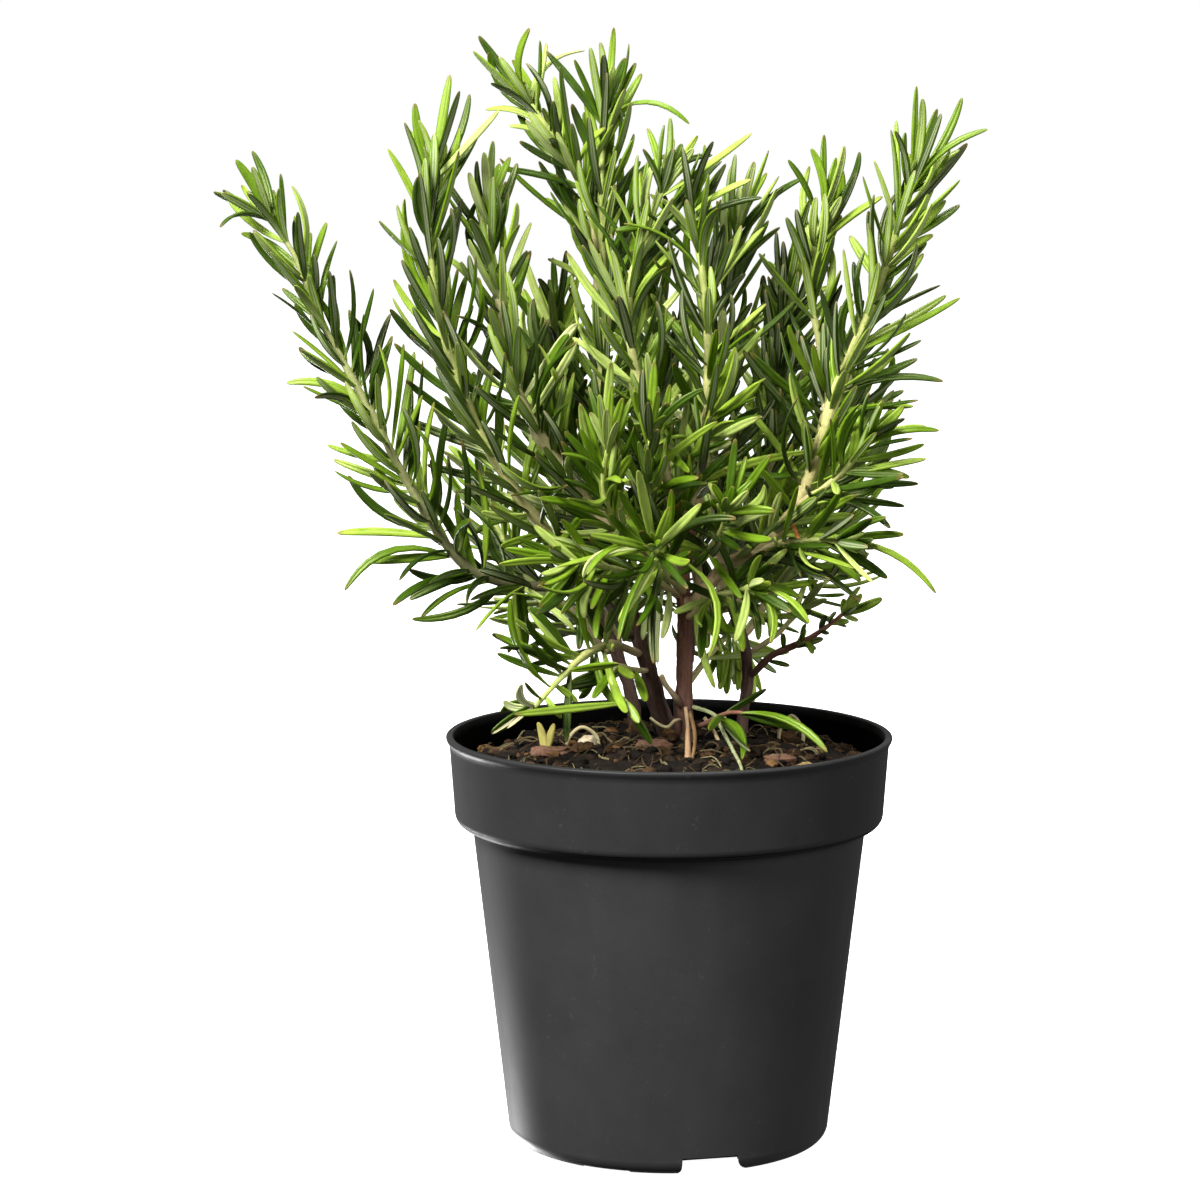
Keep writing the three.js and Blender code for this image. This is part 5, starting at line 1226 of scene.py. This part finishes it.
def make_plant():
    foliage = leaf_material("rosemary_leaf")
    twig = wood_material("rosemary_twig", crack=0.22, relief=0.12, roughness=0.7)
    bark = wood_material("rosemary_bark", crack=0.45, relief=0.4, roughness=0.85)
    for trunk in TRUNKS:
        surface = Surface()
        colours = (BARK * 0.8, RED_BARK if trunk.name == "trunk_centre" else BARK)
        path = smooth_path(trunk.stem.samples, steps=12)
        stem_mesh(surface, path, trunk.radius, colours, sides=24, relief=0.28)
        surface.show("bark", trunk.name, "bark", bark)
    for shoot in SHOOTS:
        make_shoot(shoot, foliage, twig)
    for fibre in FIBRES:
        surface = Surface()
        samples, radii = fibre.stem.samples, fibre.radius
        if fibre.name == "dry_stalk":
            samples, radii = [DRY_STALK_TOP, *samples], DRY_STALK_RADII
        slot, colours = FIBRE_LOOKS.get(fibre.name, ("dry_fibre", (TAN, PALE_TAN)))
        stem_mesh(surface, smooth_path(samples), radii, colours, sides=9, relief=0.22)
        surface.show("fine", fibre.name, slot, bark if slot == "bark" else twig)
    make_dry_leaves()


# ---- Pot: its measures ----
WALL = 1.2
FLOOR = 1.6
FOOT_RADIUS = 42.7
BODY_RADIUS = 52.7
FOOT_ROUND = 4.4
STEP_HEIGHT = 86
SHOULDER_ROUND = 3.3
BAND_LOW_RADIUS = 57.4
BAND_TOP_RADIUS = 58.7
BAND_TOP = 107.0
POT_SEGMENTS = 180
SLOPE = (BODY_RADIUS - FOOT_RADIUS) / STEP_HEIGHT
# Painted shade, as factors on the pot's colour: near black inside, a little darker on the band.
INNER_PAINTED_SHADE = 0.06
BAND_PAINTED_SHADE = 0.82
# The materials of its parts: name and gloss. The dull one, inside and under the band, has almost
# no gloss, which keeps those places dark as painted shade.
POT_PARTS = [("pot_plastic", 0.25), ("pot_band", 0.2), ("pot_lip", 0.11), ("pot_dull_painted_shade", 0.015)]
SHARP = 35  # degrees
DRAIN_WIDTH = 15
DRAIN_HEIGHT = 5
DRAIN_INNER = 27
DRAIN_HOLE = 4
DRAIN_HOLE_AT = 34
DRAIN_HOLE_HEIGHTS = (3, 11)
DRAIN_SKEW = 0.27  # the channel's right side, seen from outside, opens this much inwards
MOUTH_ROUND = (1.8, 4)  # left and right, seen from outside
MOUTH_TOP_ROUND = 1.5
MOUTH_DEPTH = 14
DRAIN_TURNS = (15, 135, 255)  # degrees from the front
RECESS_TURNS = (-24, 96, 216)
RECESS_WIDTH = 14
RECESS_DEPTH = 0.8
ROOF_FOOT = 0.5  # of a channel's roof, inside the pot's floor
ROOF_END = 2.4  # how far it ends inside the foot's radius
CLEAR = 10  # cutting blocks run this far past the foot
UNDER = -1  # and start this far below it


# ---- Solids cut and joined ----
def facing(degrees):
    """The turn from the +X direction to one given in degrees from the front."""
    return Matrix.Rotation(math.radians(degrees - 90), 3, "Z")


def lathe(profile, segments):
    """A closed round solid from an outline that starts and ends on the axis."""
    rings = profile[1:-1]
    points = [around(angle, r, z) for r, z in rings for angle in even_turn(segments)]
    ends = [(0, 0, profile[0][1]), (0, 0, profile[-1][1])]
    return points + ends, ring_faces(len(rings), segments)


def block(start, end, width, low, high, degrees, skew=0.0):
    """A block that runs outwards along a direction given in degrees from the front. With
    skew its right side runs outwards and to the left, through the foot's edge at width / 2."""
    left = -width / 2
    right = [width / 2 + skew * (FOOT_RADIUS - x) for x in (start, end)]
    plan = ((start, left), (end, left), (end, right[1]), (start, right[0]))
    corners = [facing(degrees) @ Vector((x, y, z)) for z in (low, high) for x, y in plan]
    faces = [(3, 2, 1, 0), (4, 5, 6, 7), (0, 1, 5, 4), (1, 2, 6, 5), (2, 3, 7, 6), (3, 0, 4, 7)]
    return corners, faces


def arc(r, z, radius, start, end, steps):
    angles = [math.radians(start + (end - start) * i / steps) for i in range(steps + 1)]
    return [(r + radius * math.cos(a), z + radius * math.sin(a)) for a in angles]


def drain_hole(degrees):
    low, high = DRAIN_HOLE_HEIGHTS
    outline = [(0, low), (DRAIN_HOLE, low), (DRAIN_HOLE, high), (0, high)]
    points, faces = lathe(outline, segments=32)
    x, y, _ = around(math.radians(degrees - 90), DRAIN_HOLE_AT, 0)
    return [(px + x, py + y, pz) for px, py, pz in points], faces


def rounded_mouth(degrees):
    """The open end of a drain channel, flared where its sides meet the foot of the pot."""
    wide, top = DRAIN_WIDTH / 2, MOUTH_TOP_ROUND
    left, right = MOUTH_ROUND
    outline = [
        (-wide - left, UNDER),
        *arc(-wide - left, left, left, -90, 0, 6),
        *arc(-wide + top, DRAIN_HEIGHT - top, top, 180, 90, 4),
        (wide, DRAIN_HEIGHT),
        *arc(wide + right, right, right, 180, 270, 8),
        (wide + right, UNDER),
    ]
    points = [
        facing(degrees) @ Vector((x, y + (y > 0) * DRAIN_SKEW * (FOOT_RADIUS - x), z))
        for x in (FOOT_RADIUS - MOUTH_DEPTH, FOOT_RADIUS + CLEAR)
        for y, z in outline
    ]
    n = len(outline)
    sides = [(i, i + n, (i + 1) % n + n, (i + 1) % n) for i in range(n)]
    return points, [tuple(range(n)), tuple(range(2 * n - 1, n - 1, -1)), *sides]


def carved(solid, tools):
    """The solid after each (operation, solid) of tools, as points and faces."""
    body = new_mesh("tool", *solid)
    helpers = [body]
    for operation, tool in tools:
        helpers.append(new_mesh("tool", *tool))
        step = body.modifiers.new("step", "BOOLEAN")
        step.operation, step.solver, step.object = operation, "MANIFOLD", helpers[-1]
    shaped = body.evaluated_get(bpy.context.evaluated_depsgraph_get()).to_mesh()
    points = [tuple(v.co) for v in shaped.vertices]
    faces = [tuple(p.vertices) for p in shaped.polygons]
    for helper in helpers:
        bpy.data.objects.remove(helper)
    return points, faces


# ---- Pot ----
def rounded(outline, radius=0.35, steps=3):
    """The outline with its corners between the ends rounded off."""
    made = [outline[0]]
    for before, corner, after in zip(outline, outline[1:], outline[2:]):
        before, corner, after = vec(*before), vec(*corner), vec(*after)
        cut = min(radius, 0.4 * size(before - corner), 0.4 * size(after - corner))
        start = corner + unit(before - corner) * cut
        end = corner + unit(after - corner) * cut
        for i in range(steps + 1):
            t = i / steps
            point = start * (1 - t) ** 2 + corner * 2 * t * (1 - t) + end * t**2
            made.append(tuple(point))
    return made + [outline[-1]]


def outer_radius(z):
    return FOOT_RADIUS + SLOPE * z


def inner_radius(z):
    return outer_radius(z) - WALL


def pot_outer():
    """The outside from the foot's middle up over the band and the soft flare of the lip."""
    foot = FOOT_RADIUS - FOOT_ROUND + SLOPE * FOOT_ROUND
    shoulder = (BAND_LOW_RADIUS - SHOULDER_ROUND, STEP_HEIGHT + SHOULDER_ROUND)
    return [
        (0, 0),
        *arc(foot, FOOT_ROUND, FOOT_ROUND, -90, 0, 10),
        *[(outer_radius(z), z) for z in range(12, STEP_HEIGHT, 8)],
        (BODY_RADIUS, STEP_HEIGHT),
        *arc(*shoulder, SHOULDER_ROUND, -90, 0, 9),
        (BAND_TOP_RADIUS, BAND_TOP),
        (BAND_TOP_RADIUS + 0.3, BAND_TOP + 1),
        (LIP_RADIUS - 0.4, BAND_TOP + 2),
        (LIP_RADIUS - 0.3, POT_HEIGHT - 0.4),
        (LIP_RADIUS - 0.7, POT_HEIGHT),
        (BAND_TOP_RADIUS - 0.9, POT_HEIGHT),
    ]


def pot_inner():
    return [
        (BAND_TOP_RADIUS - WALL, BAND_TOP),
        (BAND_LOW_RADIUS - WALL, STEP_HEIGHT + SHOULDER_ROUND + 1),
        (BAND_LOW_RADIUS - WALL - 2.6, STEP_HEIGHT + WALL),
        (inner_radius(STEP_HEIGHT), STEP_HEIGHT + WALL - 0.4),
        (inner_radius(4), 4),
        (inner_radius(0) - 3, FLOOR),
        (0, FLOOR),
    ]


def is_inner(x, y, z):
    """Whether a point of the pot is on the inside, which is painted dark as shade."""
    band = (STEP_HEIGHT + SHOULDER_ROUND, BAND_TOP), (BAND_LOW_RADIUS, BAND_TOP_RADIUS)
    outer = outer_radius(z) if z < STEP_HEIGHT + WALL else np.interp(z, *band)
    return FLOOR < z < POT_HEIGHT - 0.4 and math.hypot(x, y) < outer - WALL / 2


# The painted shade at a point of the pot: near black inside, a little darker on the band, none
# elsewhere.
def pot_painted_shade(x, y, z):
    if is_inner(x, y, z):
        return INNER_PAINTED_SHADE
    return BAND_PAINTED_SHADE if z > STEP_HEIGHT + 1 else 1


def pot_part(x, y, z):
    """Which of POT_PARTS covers the pot there."""
    under_band = math.hypot(x, y) > BODY_RADIUS + 0.8 and z < STEP_HEIGHT + 2
    if under_band or is_inner(x, y, z):
        return 3
    return 2 if z > BAND_TOP + 0.5 else int(z > STEP_HEIGHT + 1)


def drain_roof(degrees, grow, end):
    """A channel and the wall round it, which stands up from the pot's floor."""
    wide = DRAIN_WIDTH + 2 * WALL + 2 * grow
    top = DRAIN_HEIGHT + WALL + grow
    return block(DRAIN_INNER - WALL - grow, end, wide, ROOF_FOOT, top, degrees, DRAIN_SKEW)


def make_pot():
    far = FOOT_RADIUS + CLEAR
    tools = [("UNION", drain_roof(turn, 0, FOOT_RADIUS - ROOF_END)) for turn in DRAIN_TURNS]
    for turn in DRAIN_TURNS:
        channel = block(DRAIN_INNER, far, DRAIN_WIDTH, UNDER, DRAIN_HEIGHT, turn, DRAIN_SKEW)
        cuts = (channel, drain_hole(turn), rounded_mouth(turn))
        tools += [("DIFFERENCE", cut) for cut in cuts]
    for turn in RECESS_TURNS:
        recess = block(DRAIN_INNER, far, RECESS_WIDTH, UNDER, RECESS_DEPTH, turn)
        tools.append(("DIFFERENCE", recess))
    points, faces = carved(lathe(rounded(pot_outer() + pot_inner()), POT_SEGMENTS), tools)
    surface = Surface()
    # The pot's tint is painted shade: near black inside, a little darker on the band.
    surface.add(points, faces, [vec(1, 1, 1) * pot_painted_shade(*point) for point in points])
    places = np.array(points)
    surface.slots = [pot_part(*places[list(face)].mean(axis=0)) for face in faces]
    materials = [pot_material(*part) for part in POT_PARTS]
    mesh = surface.show("moulded", "pot", "pot_plastic", *materials)
    mesh.set_sharp_from_angle(angle=math.radians(SHARP))


# ---- Compost and what lies on it ----
PEAT = [  # colour, and the chance of it or one before it
    (srgb(20, 15, 10), 0.42), (srgb(40, 30, 20), 0.72), (srgb(66, 48, 30), 0.91),
    (srgb(96, 70, 42), 0.98), (srgb(122, 102, 66), 1.0),
]
PEAT_SEED = 4021
TOP_RINGS = 66
TOP_SEGMENTS = 150
LUMPS = ((0.16, 0.8), (0.45, 0.7), (1.1, 0.45))  # of the surface: rate and height
EDGE = COMPOST_RADIUS - 2  # nothing loose lies further out
CRUMBS, CRUMB_SIZE = 620, (0.7, 2.0)
DUST, DUST_SIZE = 900, (0.3, 0.7)
HAIRS, HAIR_SIZE = 260, (0.12, 0.34)
HAIR_POINTS, LEAST_POINTS = 6, 4
HAIR_RISE, HAIR_PACE = (0.3, 2.2), (0.9, 2.3)  # height of its arch, and from point to point
HAIR_LIFT = 0.3  # of its ends, off the compost
HAIR_BEND, BEND_SHARE = 0.9, 0.4
ROOTLETS = [  # centre line and colour of two roots that run into the compost
    (rows("6.5 -5 118, 12 -12 117, 14.5 -18 113, 16.8 -27 110, 18.8 -37 107, 18.4 -44 103.5"),
     srgb(150, 156, 112)),
    (rows("5.5 -5.6 116.5, 6.6 -12 113.5, 6.8 -18 110.5, 5.8 -27 106.5"), srgb(128, 100, 66)),
]
CRUMB_LONG, CRUMB_FLAT = (0.9, 1.8), (0.5, 0.9)  # of its size
CRUMB_OVER = (0, 0.6)  # how far its middle lies over the ground, of its height
BLOCKY, BLOCKIER = 0.8, 0.6
DENTS = [((1.7, 1.7, 1.7), 1)]  # how fast they run in each direction, and how deep they are
FINE_DENTS = [*DENTS, ((2, 2, 9), 0.35), ((9, 9, 9), 0.2)]
DENT_SHIFT = (0, 50)  # of the pattern from lump to lump
GRIT_COLOUR, CHIP_COLOUR = srgb(198, 182, 150), srgb(112, 76, 52)
CHIP_TONES = (0.6, 1.0)
CHIP_SEED, CHIP_ROUGH = 40, 0.3
CHIP_OVER = 0.35  # how far its middle lies over the compost, of its height
ANY_HEADING, LUMP_TILT = (0, 6.3), 0.6
COMPOST_SHARP = 50  # degrees


def peat_colour(dice):
    draw = dice.roll()
    return next(colour for colour, chance in PEAT if draw <= chance) * dice.between(0.75, 1.2)


def ball(detail):
    made = bmesh.new()
    bmesh.ops.create_icosphere(made, subdivisions=detail, radius=1)
    points = np.array([v.co[:] for v in made.verts])
    faces = [tuple(v.index for v in face.verts) for face in made.faces]
    made.free()
    return points, faces


SMALL, MEDIUM, LARGE = 1, 2, 4  # how finely a lump is divided
BALLS = {detail: ball(detail) for detail in (SMALL, MEDIUM, LARGE)}


def lump(surface, centre, half, detail, dice, tint, square, rough, turn=None):
    """An irregular lump. square under 1 makes it blocky, rough is the depth of its dents."""
    points, faces = BALLS[detail]
    shaped = np.sign(points) * np.abs(points) ** square
    offset = Vector([dice.between(*DENT_SHIFT) for _ in range(3)])
    swell = np.zeros(len(points))
    for rates, deep in FINE_DENTS if detail == LARGE else DENTS:
        swell += [deep * noise.noise(Vector(p) * Vector(rates) + offset) for p in points]
    shaped = shaped * (1 + rough * swell[:, None]) * np.array(half)
    if turn is None:
        turn = Matrix.Rotation(dice.between(*ANY_HEADING), 3, "Z")
        turn = turn @ Matrix.Rotation(dice.jitter(LUMP_TILT), 3, "X")
    shaped = shaped @ np.array(turn).T
    surface.add(shaped + np.array(centre), faces, tint, spot=shaped + np.array(offset))


def ground(x, y):
    """Height of the compost with its small lumps."""
    at = Vector((x, y, 0))
    return compost_height(x, y) + sum(noise.noise(at * rate) * high for rate, high in LUMPS)


def compost_body():
    """The compost follows the pot's inside at a small gap, and is uneven on top."""
    low = FLOOR + GAP
    step = BAND_LOW_RADIUS - WALL
    shelf = STEP_HEIGHT + WALL + GAP
    side = [
        (0, low), (inner_radius(0) - 3.5, low), (inner_radius(4) - GAP, 4.6),
        (inner_radius(STEP_HEIGHT) - GAP, shelf), (step - 3 - GAP, shelf),
        (step - GAP - 0.3, STEP_HEIGHT + 5),
    ]
    rims = [(COMPOST_RADIUS * (1 - i / TOP_RINGS), POT_HEIGHT) for i in range(TOP_RINGS)]
    points, faces = lathe(side + rims + [(0, POT_HEIGHT)], TOP_SEGMENTS)
    points = [(x, y, ground(x, y) if z == POT_HEIGHT else z) for x, y, z in points]
    tools = [("DIFFERENCE", drain_roof(turn, GAP, FOOT_RADIUS + 6)) for turn in DRAIN_TURNS]
    return carved((points, faces), tools)


def on_compost(dice):
    r = EDGE * math.sqrt(dice.roll())
    x, y, _ = around(dice.between(0, FULL_TURN), r, 0)
    return x, y


def add_crumbs(surface, dice):
    for i in range(CRUMBS + DUST):
        x, y = on_compost(dice)
        large = i < CRUMBS
        reach = dice.between(*CRUMB_SIZE) if large else dice.between(*DUST_SIZE)
        half = (reach * dice.between(*CRUMB_LONG), reach, reach * dice.between(*CRUMB_FLAT))
        centre = (x, y, ground(x, y) + half[2] * dice.between(*CRUMB_OVER))
        detail = MEDIUM if large else SMALL
        lump(surface, centre, half, detail, dice, peat_colour(dice), BLOCKY, rough=0.5)


def add_hairs(surface, dice):
    """Fine dry root hairs that arch a little over the compost."""
    for _ in range(HAIRS):
        x, y = on_compost(dice)
        heading, bend = dice.between(*ANY_HEADING), dice.jitter(HAIR_BEND)
        path, height, pace = [], dice.between(*HAIR_RISE), dice.between(*HAIR_PACE)
        for k in range(HAIR_POINTS):
            rise = height * math.sin(k * math.pi / (HAIR_POINTS - 1))
            path.append(vec(x, y, ground(x, y) + HAIR_LIFT + rise))
            x, y = x + pace * math.cos(heading), y + pace * math.sin(heading)
            heading += bend * BEND_SHARE
            if math.hypot(x, y) > EDGE:
                break
        if len(path) >= LEAST_POINTS:
            thin = dice.between(*HAIR_SIZE)
            colour = mix(PEAT[2][0], PALE_TAN, dice.between(0, 0.7) ** 2)
            path = smooth_path(path, steps=3)
            stem_mesh(surface, path, (thin, thin * 0.6), (colour, colour * 0.8), sides=5)


def make_compost():
    surface = Surface()
    dice = Dice(PEAT_SEED)
    points, faces = compost_body()
    damp = [1.1 + 0.9 * noise.noise(Vector(point) * 0.35) for point in points]
    surface.add(points, faces, [PEAT[0][0] * shade for shade in damp])
    add_crumbs(surface, dice)
    add_hairs(surface, dice)
    for points, colour in ROOTLETS:
        stem_mesh(surface, smooth_path(points), (0.6, 0.4), (colour, colour * 0.8), sides=8)
    mesh = surface.show("peat", "compost", "compost", soil_material("peat"))
    mesh.set_sharp_from_angle(angle=math.radians(COMPOST_SHARP))


def make_chips():
    chip_bark = wood_material("bark_chip", crack=0.4, relief=0.35)
    grit = soil_material("pale_crumb")
    for name, (x, y), half, degrees, seed in CHIPS:
        surface, dice = Surface(), Dice(seed + CHIP_SEED)
        centre = (x, y, compost_height(x, y) + half[2] * CHIP_OVER)
        turn = Matrix.Rotation(math.radians(degrees), 3, "Z")
        if name == "pale_crumb":
            tint, square, slot, material = GRIT_COLOUR, BLOCKY, "pale_crumb", grit
        else:
            tint = CHIP_COLOUR * dice.between(*CHIP_TONES)
            square, slot, material = BLOCKIER, "bark_chip", chip_bark
        lump(surface, centre, half, LARGE, dice, tint, square, CHIP_ROUGH, turn)
        surface.show("rough", name, slot, material)


# ---- Studio: in metres ----
CAMERA_PLACE = (0, -1.077, 0.293)
CAMERA_DOWN = math.radians(7.77)
LENS, SENSOR = 122.4, 36  # millimetres
FRAME, OFF_AXIS = 1200, 70  # pixels: the picture's width, and its middle from the pot's axis
CAMERA_LEFT = math.atan(OFF_AXIS / (FRAME * LENS / SENSOR))
CAMERA_CLIP = (0.05, 20)
MIDDLE, FOOT = (0, 0, 0.15), (0, 0, 0.03)
LIGHTS = [  # name, place, aim, power, width and height
    ("key", (-0.75, -0.8, 1.15), MIDDLE, 75, 0.6, 0.6),
    ("fill", (1.1, -0.8, 0.6), MIDDLE, 12, 0.8, 0.8),
    ("top", (0.15, 0.25, 1.4), MIDDLE, 20, 0.4, 0.4),
    ("rim", (-0.6, 0.95, -0.6), FOOT, 14, 0.5, 0.3),  # from below, on the pot's foot
]
WHITE = (1, 1, 1, 1)
WORLD_LIGHT = 0.14
FLOOR_REACH = 4.0
FLOOR_GREY = (0.86, 0.86, 0.86, 1)


def make_light(name, place, aim, power, width, height):
    lamp = bpy.data.lights.new(name, "AREA")
    lamp.energy, lamp.size = power, width
    if height != width:
        lamp.shape, lamp.size_y = "RECTANGLE", height
    made = new_object(name, lamp)
    made.location = place
    made.rotation_euler = (Vector(aim) - Vector(place)).to_track_quat("-Z", "Y").to_euler()


def make_floor():
    corners = [(-1, -1), (1, -1), (1, 1), (-1, 1)]
    points = [(x * FLOOR_REACH, y * FLOOR_REACH, 0) for x, y in corners]
    floor = new_mesh("floor", points, [(0, 1, 2, 3)])
    shade = Shade(
        "white_floor", Specular_IOR_Level=0.2, Emission_Strength=1.0, Emission_Color=WHITE
    )
    cloud = shade.noise(shade.node("TexCoord").outputs["Object"], 3.0)
    floor.data.materials.append(shade.finish(FLOOR_GREY, shade.swung(cloud, 0.6, 0.7)))
    floor.visible_diffuse = floor.visible_glossy = floor.visible_shadow = False


def make_camera(scene):
    lens = bpy.data.cameras.new("camera")
    lens.lens, lens.sensor_width = LENS, SENSOR
    lens.clip_start, lens.clip_end = CAMERA_CLIP
    scene.camera = new_object("camera", lens)
    scene.camera.location = CAMERA_PLACE
    scene.camera.rotation_euler = (QUARTER_TURN - CAMERA_DOWN, 0, CAMERA_LEFT)


def make_world(scene):
    """A white surround: full white behind the object, dimmer as a light on it."""
    scene.world = world = bpy.data.worlds.new("studio")
    world.use_nodes = True
    nodes, links = world.node_tree.nodes, world.node_tree.links
    dim, white = nodes["Background"], nodes.new("ShaderNodeBackground")
    for background, strength in ((dim, WORLD_LIGHT), (white, 1.0)):
        background.inputs["Color"].default_value = WHITE
        background.inputs["Strength"].default_value = strength
    mixed = nodes.new("ShaderNodeMixShader")
    seen = nodes.new("ShaderNodeLightPath").outputs["Is Camera Ray"]
    for i, output in enumerate((seen, dim.outputs[0], white.outputs[0])):
        links.new(output, mixed.inputs[i])
    links.new(mixed.outputs[0], nodes["World Output"].inputs[0])


def make_studio():
    scene = bpy.context.scene
    scene.view_settings.view_transform = "Standard"
    make_camera(scene)
    for light in LIGHTS:
        make_light(*light)
    make_world(scene)


make_studio()
make_floor()
grow_plant()
make_plant()
make_pot()
make_compost()
make_chips()
